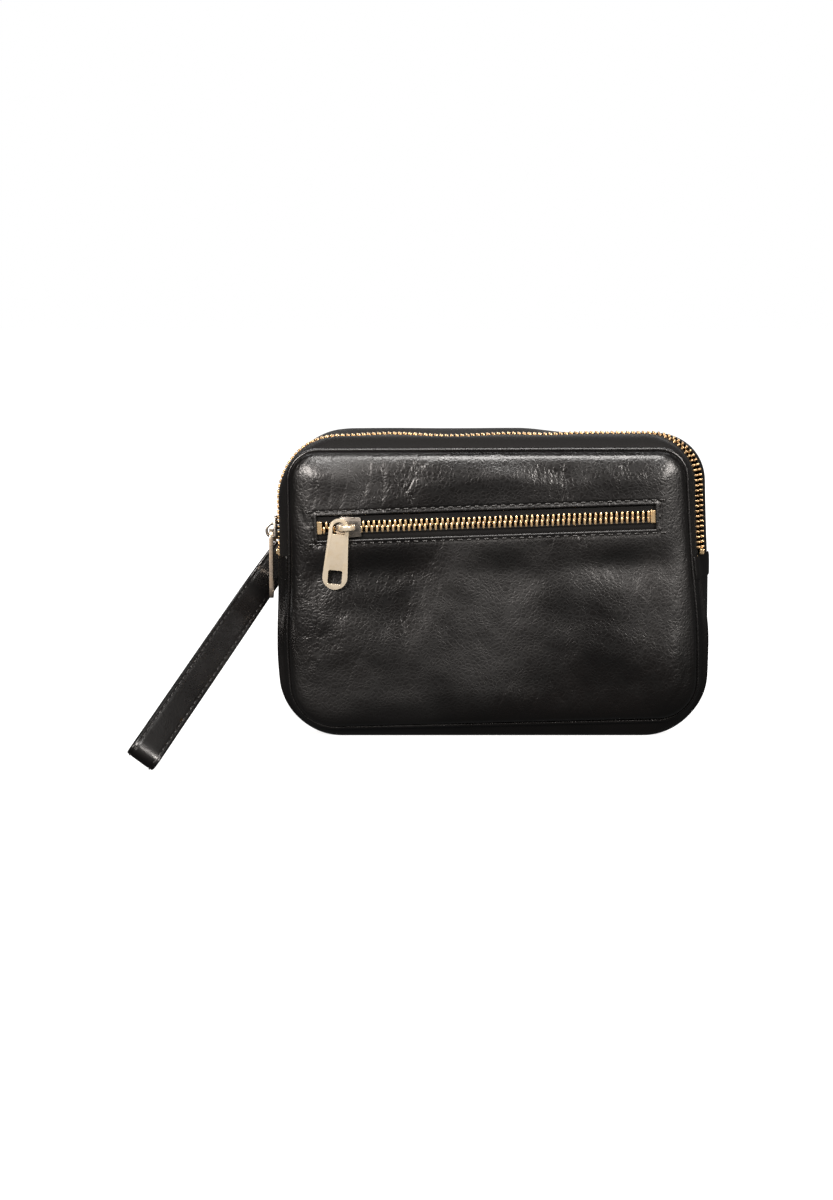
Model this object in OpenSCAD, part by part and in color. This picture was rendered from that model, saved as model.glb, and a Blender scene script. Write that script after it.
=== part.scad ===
// Leather makeup bag: a flat zipped clutch with a front zip pocket and a wrist strap.
// +X runs to the right of the front, +Y to the back, +Z up. The origin is the centre of the base.

/* [Bag] */
// Width of the bag at its base, over the side walls
bag_w = 217; // [170:1:290]
// Height of the bag
bag_h = 153; // [125:1:200]
// Depth of the side walls, from the front seam to the back seam
gusset_d = 28; // [22:1:40]
// How far the front and back panels stand out from their seams
panel_puff = 9; // [9:0.5:14]
// How far the top right corner leans in
corner_lean = 6; // [0:1:12]
// Thickness of the panel leather
panel_t = 1.6; // [1:0.1:1.8]
// Thickness of the side wall leather
gusset_t = 1.5; // [1:0.1:1.8]
// Thickness of the lining cloth
lining_t = 0.6; // [0.4:0.1:0.8]

/* [Corners] */
// Radius of the top left corner
top_left_r = 33; // [26:1:40]
// Radius of the top right corner
top_right_r = 25; // [20:1:40]
// Radius of both bottom corners
bottom_r = 32; // [26:1:40]
// How far the panel seams lie inside the outline of the bag
seam_inset = 8; // [6:0.5:10]
// How much higher the panel seam lies at the bottom right corner
seam_rise = 5; // [0:0.5:6]

/* [Main zip] */
// Height at which the main zip ends on both sides
zip_end_z = 92; // [80:1:105]
// Distance between neighbouring teeth of one row
tooth_pitch = 2.6; // [2.2:0.1:3.2]
// Width of the closed chain
chain_w = 6.4; // [5.6:0.1:7]
// Thickness of the chain
chain_t = 2.4; // [2:0.1:2.6]
// Thickness of the zip tape
tape_t = 0.6; // [0.4:0.1:0.8]
// Height of the main slider's middle above the zip's end
main_slider_up = 13; // [12:0.5:16]

/* [Pocket] */
// Length of the pocket window
window_l = 168; // [120:1:180]
// Height of the pocket window
window_h = 12.4; // [12.4:0.1:16]
// Middle of the pocket window, to the right of the bag's middle
window_x = -4.5; // [-6:0.5:2]
// Height of the middle of the pocket window
window_z = 111; // [95:1:118]
// Slope of the pocket window in degrees
window_slope = 2; // [0:0.5:3]
// Width of each pocket zip tape
pocket_tape_w = 12; // [9:0.5:14]
// Height of the pocket pouch below the window
pouch_drop = 78; // [50:1:85]
// Distance from the window's left end to the pocket slider's middle
pocket_slider_in = 15.8; // [14:0.1:40]

/* [Sliders] */
// Length of a slider body
slider_l = 12.4; // [11:0.1:14]
// Width of a slider body
slider_w = 11; // [10:0.1:11.4]
// Thickness of each slider plate
plate_t = 1; // [0.8:0.1:1.2]
// Outer radius of the bail that holds the puller
bail_r = 4.3; // [4.2:0.1:4.8]
// Thickness of the bail
bail_t = 1.3; // [1:0.1:1.4]
// Width of the bail
bail_w = 2.4; // [1.8:0.1:2.6]
// Length of a puller
puller_l = 35.5; // [30:0.5:45]
// Thickness of a puller
puller_t = 1.8; // [1.4:0.1:1.9]
// Radius of a puller's eye end
puller_eye_r = 4.8; // [4.6:0.1:5]
// Radius of a puller's free end
puller_end_r = 6.2; // [5.2:0.1:7]
// Radius of the eye hole
eye_hole_r = 3.1; // [2.8:0.1:3.2]
// Side of the square hole in the puller's free end
puller_hole = 7; // [5:0.1:7.2]

/* [Strap] */
// Width of the wrist strap
strap_w = 15; // [10:0.5:16]
// Length of the strap loop from its hinge line to the fold
strap_l = 139; // [110:1:142]
// Thickness of each of the strap's two layers of leather
strap_ply = 1.1; // [0.8:0.1:1.3]
// Slope of the strap below the horizontal in degrees, seen from the front
strap_slope = 53; // [45:1:56]
// How far the strap is turned to the front in degrees
strap_turn = 51.5; // [50:0.5:70]
// Length of the sewn end that holds the strap
strap_end_l = 17; // [14:1:20]

/* [Stitches] */
// Distance between stitches
stitch_pitch = 4.3; // [3.5:0.1:6]
// Length of one stitch
stitch_l = 2.9; // [2:0.1:3.2]
// Thickness of the thread
thread_t = 0.5; // [0.4:0.1:0.7]

/* [Hidden] */
$fn = 48;
arc_steps = 7;
top_steps = 7;
side_steps = 3;
puff_steps = 5;
puff_zone = 0.12;
tape_curve = 3.5;
gusset_flat = 0.75;
tooth_l = 1.5;
row_gap = 0.9;
tooth_grip = 0.8;
slider_gap = 0.2;
slot_gap = 0.5;
blade_t = 0.6;
flange_w = 0.9;
bail_back = 1;
puller_gap = 0.45;
puller_lean = 5;
stop_l = 2.6;
tab_l = 8.5;
tab_t = 1.25;
tab_gap = 0.15;
piping_w = 2.2;
cloth_gap = 0.3;
tape_over = 2;
pouch_over = 1.2;
loop_root_r = 0.4;
loop_fold_r = 2.8;
hinge_gap = 5;
strap_end_t = 3.2;
stitch_in = 1.8;
end_clear = 14;
hole_corner_r = 1;
end_steps = 18;
floor_gap = 0.3;
side_gap = 1;
seam_left_out = 1;
seam_low = 2;

seam_y = gusset_d / 2;
panel_y = seam_y + panel_puff;
puff_rise = panel_puff - panel_t;
half_gap = chain_t / 2 + slider_gap;
plate_top = half_gap + plate_t;
pocket_y = -(panel_y - panel_t - tape_t / 2 - slider_gap);
pouch_front_y = pocket_y + tape_t / 2 + 0.1;
pouch_back_y = -seam_y - 0.1;
bail_mid_r = bail_r - bail_t / 2;
leg_x = -bail_back - bail_mid_r;
loop_r = loop_fold_r + 2 * strap_ply;
root_r = loop_root_r + 2 * strap_ply;
strap_y = seam_y + panel_t + 0.1 + strap_end_t / 2;
strap_run = strap_end_l + hinge_gap;
strap_in = strap_run * cos(strap_slope) + strap_w / 2 * sin(strap_slope);
strap_x = -bag_w / 2 + seam_inset + 2 * side_gap - strap_in;
fold_drop = (strap_l - loop_r) * cos(strap_turn) * sin(strap_slope);
edge_drop = strap_w / 2 * cos(strap_slope) + loop_r * sin(strap_slope);
strap_z = fold_drop + edge_drop + floor_gap;

// Sharp corners of the outline at mid depth and of the panel seams, clockwise from the top left
outline = [[-bag_w / 2, bag_h], [bag_w / 2 - corner_lean, bag_h], [bag_w / 2, 0], [-bag_w / 2, 0]];
seam = [[-bag_w / 2 + seam_inset - seam_left_out, bag_h - seam_inset],
        [bag_w / 2 - corner_lean - seam_inset, bag_h - seam_inset],
        [bag_w / 2 - seam_inset, seam_inset - seam_low + seam_rise],
        [-bag_w / 2 + seam_inset, seam_inset - seam_low]];
outline_r = [top_left_r, top_right_r, bottom_r, bottom_r];
seam_r = [top_left_r - 12, top_right_r - 9, bottom_r - 11, bottom_r - 10];
seam_mid = (seam[0] + seam[1] + seam[2] + seam[3]) / 4;

leather = [0.09, 0.08, 0.08];
cloth = [0.13, 0.13, 0.14];
brass = [0.78, 0.62, 0.33];
nickel = [0.55, 0.53, 0.5];
gold = [0.86, 0.74, 0.52];
thread = [0.05, 0.05, 0.05];

function mix(a, b, t) = a + (b - a) * t;
function unit(v) = v / norm(v);
function turned(v, a) = [v[0] * cos(a) - v[1] * sin(a), v[0] * sin(a) + v[1] * cos(a)];
function corners(i) = [for (k = [0:3]) mix(outline[k], seam[k], i / seam_inset)];
function corner_r(i, k) = max(1, mix(outline_r[k], seam_r[k], i / seam_inset));

// Points of the rounded corner k of the outline that lies i inside the bag's own
function arc(i, k) =
    let (c = corners(i), r = corner_r(i, k),
         back = unit(c[(k + 3) % 4] - c[k]), on = unit(c[(k + 1) % 4] - c[k]),
         half = acos(back * on) / 2, centre = c[k] + unit(back + on) * r / sin(half),
         start = c[k] + back * r / tan(half) - centre)
    [for (j = [0:arc_steps]) centre + turned(start, -j * (180 - 2 * half) / arc_steps)];

// Points strictly between a and b
function between(a, b, n) = [for (j = [1:n - 1]) mix(a, b, j / n)];
function last(p) = p[len(p) - 1];
function middle(p) = [for (k = [0:2]) (min([for (q = p) q[k]]) + max([for (q = p) q[k]])) / 2];
function on_side(i, low, high, z) =
    let (c = corners(i)) mix(c[low], c[high], (z - c[low][1]) / (c[high][1] - c[low][1]));
function left_at(i, z) = on_side(i, 3, 0, z);
function right_at(i, z) = on_side(i, 2, 1, z);

// The line i inside the outline, from the left zip end over the top to the right zip end
function upper_line(i) =
    let (a = left_at(i, zip_end_z), b = arc(i, 0), c = arc(i, 1), d = right_at(i, zip_end_z))
    concat([a], between(a, b[0], side_steps), b, between(last(b), c[0], top_steps), c,
           between(last(c), d, side_steps), [d]);

// The same line from the right zip end round the base to the left zip end
function lower_line(i) =
    let (a = right_at(i, zip_end_z), b = arc(i, 2), c = arc(i, 3), d = left_at(i, zip_end_z))
    concat([a], between(a, b[0], side_steps), b, between(last(b), c[0], top_steps), c,
           between(last(c), d, side_steps), [d]);

function whole_line(i) =
    let (low = lower_line(i)) concat(upper_line(i), [for (j = [1:len(low) - 2]) low[j]]);
function rail(line, y) = [for (p = line) [p[0], y, p[1]]];

// How far the zip tape and the lower side wall lie inside the outline at s, from -1 in front to 1 behind
function tape_inset(s) = seam_inset * pow(abs(s), tape_curve);
function wall_inset(s) = seam_inset * pow(max(0, (abs(s) - gusset_flat) / (1 - gusset_flat)), 1.5);

// Lengths along a line, and the place and direction at length s
function lengths(p) =
    [for (k = 0, s = 0; k < len(p); s = s + norm(p[min(k + 1, len(p) - 1)] - p[k]), k = k + 1) s];
function place_at(p, run, s) =
    let (k = max([for (i = [0:len(run) - 2]) if (run[i] <= s) i]), step = p[k + 1] - p[k])
    [p[k] + unit(step) * (s - run[k]), atan2(step[1], step[0])];

// A solid skin over rails: each rail has one point at every station of the path
module skin(rails, path_closed, ring_closed) {
    n = len(rails[0]);
    m = len(rails);
    sides = [for (r = [0:m - (ring_closed ? 1 : 2)], j = [0:n - (path_closed ? 1 : 2)])
        let (r2 = (r + 1) % m, j2 = (j + 1) % n,
             a = r * n + j, b = r2 * n + j, c = r2 * n + j2, d = r * n + j2)
        each [[a, b, c], [a, c, d]]];
    path_ends = path_closed ? [] : [[for (r = [m - 1:-1:0]) r * n], [for (r = [0:m - 1]) r * n + n - 1]];
    ring_ends = ring_closed ? [] : [for (j = [0:n - 1]) let (j2 = (j + 1) % n)
        each [[m * n, j, j2], [m * n + 1, (m - 1) * n + j2, (m - 1) * n + j]]];
    middles = ring_closed ? [] : [middle(rails[0]), middle(last(rails))];
    polyhedron(concat([for (r = rails) each r], middles), concat(sides, path_ends, ring_ends));
}

// A puffed sheet with its edge at edge_y, in front of the bag
module puffed(inset, edge_y, rise, t) {
    edge = whole_line(inset);
    steps = [for (k = [0:puff_steps]) k / puff_steps];
    outer = [for (f = steps) rail([for (p = edge) mix(p, seam_mid, puff_zone * f)],
                                  -(edge_y + t + rise * (1 - pow(1 - f, 2))))];
    inner = [for (f = steps) rail([for (p = edge) mix(p, seam_mid, puff_zone * f)],
                                  -(edge_y + rise * (1 - pow(1 - f, 2))))];
    skin(concat([for (k = [puff_steps:-1:0]) outer[k]], inner), true, false);
}

// Anything fixed to the pocket window: u along it, v up it, w out of the bag
module in_window(u = 0, v = 0) {
    translate([window_x, pocket_y, window_z]) rotate([0, -window_slope, 0]) rotate([90, 0, 0])
        translate([u, v, 0]) children();
}

module front_panel() {
    color(leather) difference() {
        puffed(seam_inset, seam_y, puff_rise, panel_t);
        in_window() cube([window_l, window_h, 3 * panel_puff], center = true);
    }
}

module back_panel() {
    color(leather) mirror([0, 1, 0]) puffed(seam_inset, seam_y, puff_rise, panel_t);
}

// A band of the side wall between the stations s of list across, with its faces at two offsets
module upper_band(across, out, inn) {
    back = [for (k = [len(across) - 1:-1:0]) across[k]];
    skin(concat([for (s = across) rail(upper_line(tape_inset(s) + out), s * seam_y)],
                [for (s = back) rail(upper_line(tape_inset(s) + inn), s * seam_y)]), false, true);
}

module lower_band(across, out, inn) {
    back = [for (k = [len(across) - 1:-1:0]) across[k]];
    skin(concat([for (s = across) rail(lower_line(wall_inset(s) + out), s * seam_y)],
                [for (s = back) rail(lower_line(wall_inset(s) + inn), s * seam_y)]), false, true);
}

module lower_gusset() {
    color(leather) lower_band([-1, -0.92, -0.84, -gusset_flat, gusset_flat, 0.84, 0.92, 1], 0, gusset_t);
}

module gusset_lining() {
    color(cloth) lower_band([-0.93, -0.86, -gusset_flat, gusset_flat, 0.86, 0.93],
                            gusset_t + cloth_gap, gusset_t + cloth_gap + lining_t);
}

// Folded leather edge that covers a panel's seam all round
module front_piping() {
    edge = whole_line(seam_inset - piping_w);
    seam_line = whole_line(seam_inset);
    color(leather) skin([rail(edge, -seam_y), rail(seam_line, -seam_y),
                         rail(seam_line, -seam_y - panel_t), rail(edge, -seam_y - panel_t)], true, true);
}

module back_piping() {
    mirror([0, 1, 0]) front_piping();
}

tape_edge = (chain_w / 2 - tooth_grip) / seam_y;

module front_tape() {
    color(cloth) upper_band([-1, -0.9, -0.8, -0.68, -0.54, -0.38, -tape_edge], -tape_t / 2, tape_t / 2);
}

module back_tape() {
    mirror([0, 1, 0]) front_tape();
}

// One row of teeth along the mid line, on the side of the chain that side names
module main_teeth(side) {
    line = upper_line(0);
    run = lengths(line);
    count = floor((last(run) - 2 * (stop_l + 1) - tooth_l) / tooth_pitch);
    for (k = [0:count - 1]) {
        at = place_at(line, run, stop_l + 1 + tooth_l / 2 + (k + (side > 0 ? 0.5 : 0)) * tooth_pitch);
        translate([at[0][0], side * (chain_w + row_gap) / 4, at[0][1]]) rotate([0, -at[1], 0])
            cube([tooth_l, (chain_w - row_gap) / 2, chain_t], center = true);
    }
}

module front_teeth() {
    color(brass) main_teeth(-1);
}

module back_teeth() {
    color(brass) main_teeth(1);
}

// Metal stop across both rows at each end of the chain
module zip_stops() {
    z = zip_end_z + stop_l / 2 + cloth_gap;
    color(brass) for (p = [left_at(0, z), right_at(0, z)])
        translate([p[0], 0, p[1]]) cube([chain_t, chain_w, stop_l], center = true);
}

// Leather tab over the end of the zip: its section across the side wall, leaning as that side does
module end_tab(right) {
    across = [-0.9, -0.84, -gusset_flat, gusset_flat, 0.84, 0.9];
    z = zip_end_z - cloth_gap - tab_l / 2;
    lean = right ? -atan(corner_lean / bag_h) : 0;
    x = [for (s = across) (right ? right_at(wall_inset(s), z) : left_at(wall_inset(s), z))[0]];
    out = right ? 1 : -1;
    middle_x = x[2];
    section = concat([for (k = [0:5]) [x[k] + out * (tab_gap + tab_t) - middle_x, across[k] * seam_y]],
                     [for (k = [5:-1:0]) [x[k] + out * tab_gap - middle_x, across[k] * seam_y]]);
    translate([middle_x, 0, z]) rotate([0, lean, 0]) linear_extrude(tab_l, center = true) polygon(section);
}

module left_end_tab() {
    color(leather) end_tab(false);
}

module right_end_tab() {
    color(leather) end_tab(true);
}

module front_lining() {
    color(cloth) translate([0, -seam_y + 0.1 + lining_t, 0]) rotate([90, 0, 0]) linear_extrude(lining_t)
        polygon(whole_line(seam_inset + gusset_t + cloth_gap));
}

module back_lining() {
    color(cloth) mirror([0, 1, 0])
        puffed(seam_inset + gusset_t + cloth_gap, seam_y - lining_t - 0.1, puff_rise - cloth_gap, lining_t);
}

module pocket_tape(side) {
    low = chain_w / 2 - tooth_grip;
    in_window(0, side * (low + pocket_tape_w) / 2)
        cube([window_l + 2 * tape_over, pocket_tape_w - low, tape_t], center = true);
}

module pocket_tape_upper() {
    color(cloth) pocket_tape(1);
}

module pocket_tape_lower() {
    color(cloth) pocket_tape(-1);
}

module pocket_teeth(side) {
    count = floor((window_l - 2 * (stop_l + 1)) / tooth_pitch);
    start = -(count - 1) * tooth_pitch / 2 - tooth_pitch / 4;
    for (k = [0:count - 1])
        in_window(start + (k + (side > 0 ? 0.5 : 0)) * tooth_pitch, side * (chain_w + row_gap) / 4)
            cube([tooth_l, (chain_w - row_gap) / 2, chain_t], center = true);
}

module pocket_teeth_upper() {
    color(brass) pocket_teeth(1);
}

module pocket_teeth_lower() {
    color(brass) pocket_teeth(-1);
}

module pocket_stops() {
    color(brass) for (side = [-1, 1]) in_window(side * (window_l - stop_l) / 2)
        cube([stop_l, chain_w, chain_t], center = true);
}

// Cloth pouch behind the window, open to the front between the tapes
module pocket_pouch() {
    w = window_l + 2 * pouch_over;
    h = pouch_drop + pocket_tape_w;
    d = pouch_back_y - pouch_front_y;
    mid = [window_x, (pouch_front_y + pouch_back_y) / 2, window_z - pouch_drop + h / 2];
    color(cloth) difference() {
        translate(mid) cube([w, d, h], center = true);
        translate(mid) cube([w - 2 * lining_t, d - 2 * lining_t, h - 2 * lining_t], center = true);
        in_window() cube([window_l + pouch_over, window_h, 2 * (lining_t + 1)], center = true);
    }
}

module row_of_stitches(length) {
    count = floor(length / stitch_pitch);
    for (k = [0:count - 1]) translate([(k - (count - 1) / 2) * stitch_pitch, 0, 0])
        cube([stitch_l, thread_t, thread_t / 2], center = true);
}

module window_stitching() {
    out = panel_y + pocket_y + thread_t / 4;
    row_v = window_h / 2 + 2;
    row_u = window_l / 2 + 2;
    color(thread) for (side = [-1, 1]) {
        in_window(0, side * row_v) translate([0, 0, out]) row_of_stitches(2 * row_u);
        in_window(side * row_u, 0) translate([0, 0, out]) rotate([0, 0, 90])
            row_of_stitches(2 * row_v - stitch_pitch);
    }
}

// Slider body: travel along +X, tapes to +Y and -Y, plates above and below the chain
module slider_body() {
    back = -slider_l / 2;
    shoulder = back + 2.8;
    plan = [[back, slider_w / 4], [shoulder, slider_w / 2], [-back, slider_w / 2 - 0.9],
            [-back, 0.9 - slider_w / 2], [shoulder, -slider_w / 2], [back, -slider_w / 4]];
    rim = [[shoulder, slider_w / 2], [-back, slider_w / 2 - 0.9], [-back, slider_w / 2 - 0.9 - flange_w],
           [shoulder, slider_w / 2 - flange_w]];
    slot = tape_t / 2 + slot_gap;
    union() {
        for (z = [half_gap, -half_gap - plate_t]) translate([0, 0, z]) linear_extrude(plate_t) polygon(plan);
        for (z = [slot, -half_gap]) translate([0, 0, z]) linear_extrude(half_gap - slot) {
            polygon(rim);
            mirror([0, 1]) polygon(rim);
        }
        translate([back + 0.8, -blade_t / 2, -half_gap]) cube([3.8, blade_t, 2 * half_gap]);
    }
}

// Half ring on the slider's upper plate
module bail() {
    translate([-bail_back, 0, plate_top]) rotate([90, 0, 0]) linear_extrude(bail_w, center = true)
        difference() {
            circle(bail_r);
            circle(bail_r - bail_t);
            translate([-2 * bail_r, -2 * bail_r]) square([4 * bail_r, 2 * bail_r]);
        }
}

// Points of an arc of radius r about the point p
function round_end(p, r, from, to) =
    [for (j = [0:end_steps]) p + r * [cos(mix(from, to, j / end_steps)), sin(mix(from, to, j / end_steps))]];

// Straight taper with a round end of radius a at the origin and one of radius b at x = -l
module taper(a, b, l) {
    side = 90 - asin((b - a) / l);
    polygon(concat(round_end([0, 0], a, -side, side), round_end([-l, 0], b, side, 360 - side)));
}

module rounded_square(side, r) {
    union() {
        square([side, side - 2 * r], center = true);
        square([side - 2 * r, side], center = true);
        for (x = [-1, 1], y = [-1, 1]) translate([x, y] * (side / 2 - r)) circle(r);
    }
}

// Puller lying on the slider, its eye round the bail's leg and its free end along -X
module puller(lean) {
    l = puller_l - puller_eye_r - puller_end_r;
    translate([leg_x, 0, plate_top + puller_gap]) rotate([0, 0, lean]) linear_extrude(puller_t)
        difference() {
            taper(puller_eye_r, puller_end_r, l);
            circle(eye_hole_r);
            translate([-eye_hole_r, -eye_hole_r]) square([eye_hole_r, 2 * eye_hole_r]);
            translate([-l, 0]) rounded_square(puller_hole, hole_corner_r);
        }
}

module at_main_slider() {
    p = left_at(0, zip_end_z + main_slider_up);
    translate([p[0], 0, p[1]]) rotate([0, -90, 0]) children();
}

module at_pocket_slider() {
    in_window(pocket_slider_in - window_l / 2) children();
}

module main_slider() {
    color(nickel) at_main_slider() slider_body();
}

module main_bail() {
    color(nickel) at_main_slider() bail();
}

module main_puller() {
    color(gold) at_main_slider() puller(0);
}

module pocket_slider() {
    color(nickel) at_pocket_slider() slider_body();
}

module pocket_bail() {
    color(gold) at_pocket_slider() bail();
}

module pocket_puller() {
    color(gold) at_pocket_slider() puller(90 - puller_lean - window_slope);
}

// The strap's own frame: the loop along -X from its hinge line, its width along Z
module at_strap(turn) {
    translate([strap_x, strap_y, strap_z]) rotate([0, -strap_slope, 0]) rotate([0, 0, turn]) children();
}

module loop_layer(inside, outside) {
    l = strap_l - loop_r;
    at_strap(strap_turn) linear_extrude(strap_w, center = true) difference() {
        taper(loop_root_r + outside, loop_fold_r + outside, l);
        taper(loop_root_r + inside, loop_fold_r + inside, l);
    }
}

module strap_outer() {
    color(leather) loop_layer(strap_ply, 2 * strap_ply);
}

module strap_inner() {
    color(leather) loop_layer(0, strap_ply);
}

// The two ends of the strap, sewn together and held on the back seam
module strap_sewn_end() {
    color(leather) difference() {
        at_strap(0) translate([hinge_gap, -strap_end_t / 2, -strap_w / 2])
            cube([strap_end_l, strap_end_t, strap_w]);
        translate([-bag_w / 2 + seam_inset - seam_left_out - cloth_gap, 0, 0]) cube(bag_h);
    }
}

module strap_stitching() {
    l = strap_l - loop_r;
    tilt = asin((loop_fold_r - loop_root_r) / l);
    face = mix(root_r, loop_r, 0.5) / cos(tilt) + thread_t / 4;
    color(thread) at_strap(strap_turn) for (side = [-1, 1], edge = [-1, 1])
        translate([-l / 2, side * face, edge * (strap_w / 2 - stitch_in)]) rotate([0, 0, -side * tilt])
            rotate([90, 0, 0]) row_of_stitches(l - end_clear);
}

front_panel();
back_panel();
lower_gusset();
front_piping();
back_piping();
front_tape();
back_tape();
front_teeth();
back_teeth();
zip_stops();
left_end_tab();
right_end_tab();
front_lining();
back_lining();
gusset_lining();
pocket_tape_upper();
pocket_tape_lower();
pocket_teeth_upper();
pocket_teeth_lower();
pocket_stops();
pocket_pouch();
window_stitching();
main_slider();
main_bail();
main_puller();
pocket_slider();
pocket_bail();
pocket_puller();
strap_outer();
strap_inner();
strap_sewn_end();
strap_stitching();
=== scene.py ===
"""Looks of a black leather makeup bag: the CAD frame dressed in leather, zip tape, brass and thread."""

import logging
import math
from contextlib import contextmanager
from dataclasses import dataclass
from enum import Enum
from typing import Iterator, Optional, Sequence, Union

import bmesh
import bpy
import numpy as np
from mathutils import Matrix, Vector, noise


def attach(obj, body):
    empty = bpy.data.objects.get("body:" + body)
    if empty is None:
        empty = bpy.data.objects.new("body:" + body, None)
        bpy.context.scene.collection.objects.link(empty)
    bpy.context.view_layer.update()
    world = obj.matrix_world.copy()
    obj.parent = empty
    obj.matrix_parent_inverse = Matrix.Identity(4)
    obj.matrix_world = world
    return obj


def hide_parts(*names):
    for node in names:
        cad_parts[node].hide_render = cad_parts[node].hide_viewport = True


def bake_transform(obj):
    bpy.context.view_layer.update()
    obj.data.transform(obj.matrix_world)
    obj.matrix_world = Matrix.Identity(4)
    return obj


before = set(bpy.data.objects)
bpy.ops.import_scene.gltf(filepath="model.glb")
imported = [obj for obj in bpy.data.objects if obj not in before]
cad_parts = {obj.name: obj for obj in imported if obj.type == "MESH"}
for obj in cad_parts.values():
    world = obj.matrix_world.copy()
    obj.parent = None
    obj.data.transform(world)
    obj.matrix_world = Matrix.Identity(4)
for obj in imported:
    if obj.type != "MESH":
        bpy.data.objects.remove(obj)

LOG = logging.getLogger("makeup_bag")
MM = 0.001
SHARP_DEGREES = 35.0
MERGE_MM = 0.01
TOOTH_UNEVENNESS = 0.03
STITCH_UNEVENNESS = 0.07
TO_FRONT = (0.0, -1.0, 0.0)

Array = np.ndarray
Object = bpy.types.Object
Material = bpy.types.Material
Value = Union["Wire", float, int, str, tuple, bpy.types.ID]


class Body(Enum):
    """The moving bodies of the bag."""

    BAG = "bag"
    MAIN_SLIDER = "main_slider"
    MAIN_PULLER = "main_puller"
    POCKET_SLIDER = "pocket_slider"
    POCKET_PULLER = "pocket_puller"
    STRAP = "strap"


class Slot(Enum):
    """The record's material slots."""

    LEATHER = "black_leather"
    TAPE = "zip_tape"
    BRASS = "brass_teeth"
    NICKEL = "nickel"
    GOLD = "pale_gold"
    CLOTH = "lining_cloth"
    THREAD = "thread"


class Wire:
    """A node's output that takes part in arithmetic."""

    def __init__(self, graph: "Graph", socket: bpy.types.NodeSocket) -> None:
        """Keeps the socket and the graph it belongs to."""
        self.graph = graph
        self.socket = socket

    def _math(self, operation: str, first: Value, second: Value) -> "Wire":
        """A Math node on two values."""
        return self.graph.node("ShaderNodeMath", {"operation": operation}, {0: first, 1: second})

    def other(self, name: str) -> "Wire":
        """Another output of the same node."""
        return Wire(self.graph, self.socket.node.outputs[name])

    def __add__(self, value: Value) -> "Wire":
        """self + value."""
        return self._math("ADD", self, value)

    def __sub__(self, value: Value) -> "Wire":
        """self - value."""
        return self._math("SUBTRACT", self, value)

    def __rsub__(self, value: Value) -> "Wire":
        """value - self."""
        return self._math("SUBTRACT", value, self)

    def __mul__(self, value: Value) -> "Wire":
        """self * value."""
        return self._math("MULTIPLY", self, value)

    __radd__ = __add__
    __rmul__ = __mul__


class Graph:
    """A node tree that is written as expressions."""

    def __init__(self, tree: bpy.types.NodeTree) -> None:
        """Starts from the tree as it is."""
        self.tree = tree

    def node(self, kind: str, settings: Optional[dict] = None, inputs: Optional[dict] = None,
             output: Union[int, str] = 0) -> Wire:
        """Adds one node.

        Args:
            kind: The node's type.
            settings: Properties to set first.
            inputs: Values or wires by socket name or number.
            output: Name or number of the output to return.

        Returns:
            The wire from that output.
        """
        made = self.tree.nodes.new(kind)
        for key, value in (settings or {}).items():
            setattr(made, key, value)
        for key, value in (inputs or {}).items():
            if isinstance(value, Wire):
                self.tree.links.new(value.socket, made.inputs[key])
            else:
                made.inputs[key].default_value = value
        return Wire(self, made.outputs[output])

    def end(self, kind: str, wire: Wire) -> None:
        """Ends the tree in an output node."""
        self.tree.links.new(wire.socket, self.tree.nodes.new(kind).inputs[0])

    def colours(self, factor: Value, first: tuple, second: tuple) -> Wire:
        """A colour between two, by a factor."""
        return self.node("ShaderNodeMix", {"data_type": "RGBA"}, {0: factor, 6: (*first, 1.0), 7: (*second, 1.0)}, 2)

    def spread(self, wire: Wire, low: float, high: float, out_low: float = 0.0, out_high: float = 1.0) -> Wire:
        """A value mapped smoothly from one range to another, and held at its ends."""
        return self.node("ShaderNodeMapRange", {"interpolation_type": "SMOOTHSTEP"},
                         {0: wire, 1: low, 2: high, 3: out_low, 4: out_high})

    def place(self, scale: tuple = (1.0, 1.0, 1.0), turn: tuple = (0.0, 0.0, 0.0)) -> Wire:
        """Object coordinates, scaled and turned."""
        coords = self.node("ShaderNodeTexCoord", None, None, "Object")
        return self.node("ShaderNodeMapping", {"vector_type": "POINT"},
                         {"Vector": coords, "Scale": scale, "Rotation": turn})

    def fibres(self, name: str, scale: tuple) -> Wire:
        """The piece's own UV map in millimetres, scaled."""
        coords = self.node("ShaderNodeUVMap", {"uv_map": name})
        return self.node("ShaderNodeMapping", None, {"Vector": coords, "Scale": scale})

    def noise(self, vector: Wire, scale: float, detail: float = 3.0, roughness: float = 0.55,
              distortion: float = 0.0) -> Wire:
        """Fractal noise from 0 to 1."""
        return self.node("ShaderNodeTexNoise", None, {"Vector": vector, "Scale": scale, "Detail": detail,
                                                      "Roughness": roughness, "Distortion": distortion})

    def bump(self, height: Value, distance_mm: float, strength: float = 1.0, under: Optional[Wire] = None) -> Wire:
        """Relief of a given depth, on top of another relief."""
        inputs = {"Height": height, "Distance": distance_mm * MM, "Strength": strength}
        if under is not None:
            inputs["Normal"] = under
        return self.node("ShaderNodeBump", None, inputs)


def new_material(name: str, colour: tuple) -> Material:
    """An empty material that the viewport shows in this colour."""
    material = bpy.data.materials.new(name)
    material.use_nodes = True
    material.node_tree.nodes.clear()
    material.diffuse_color = (*colour, 1.0)
    return material


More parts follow.
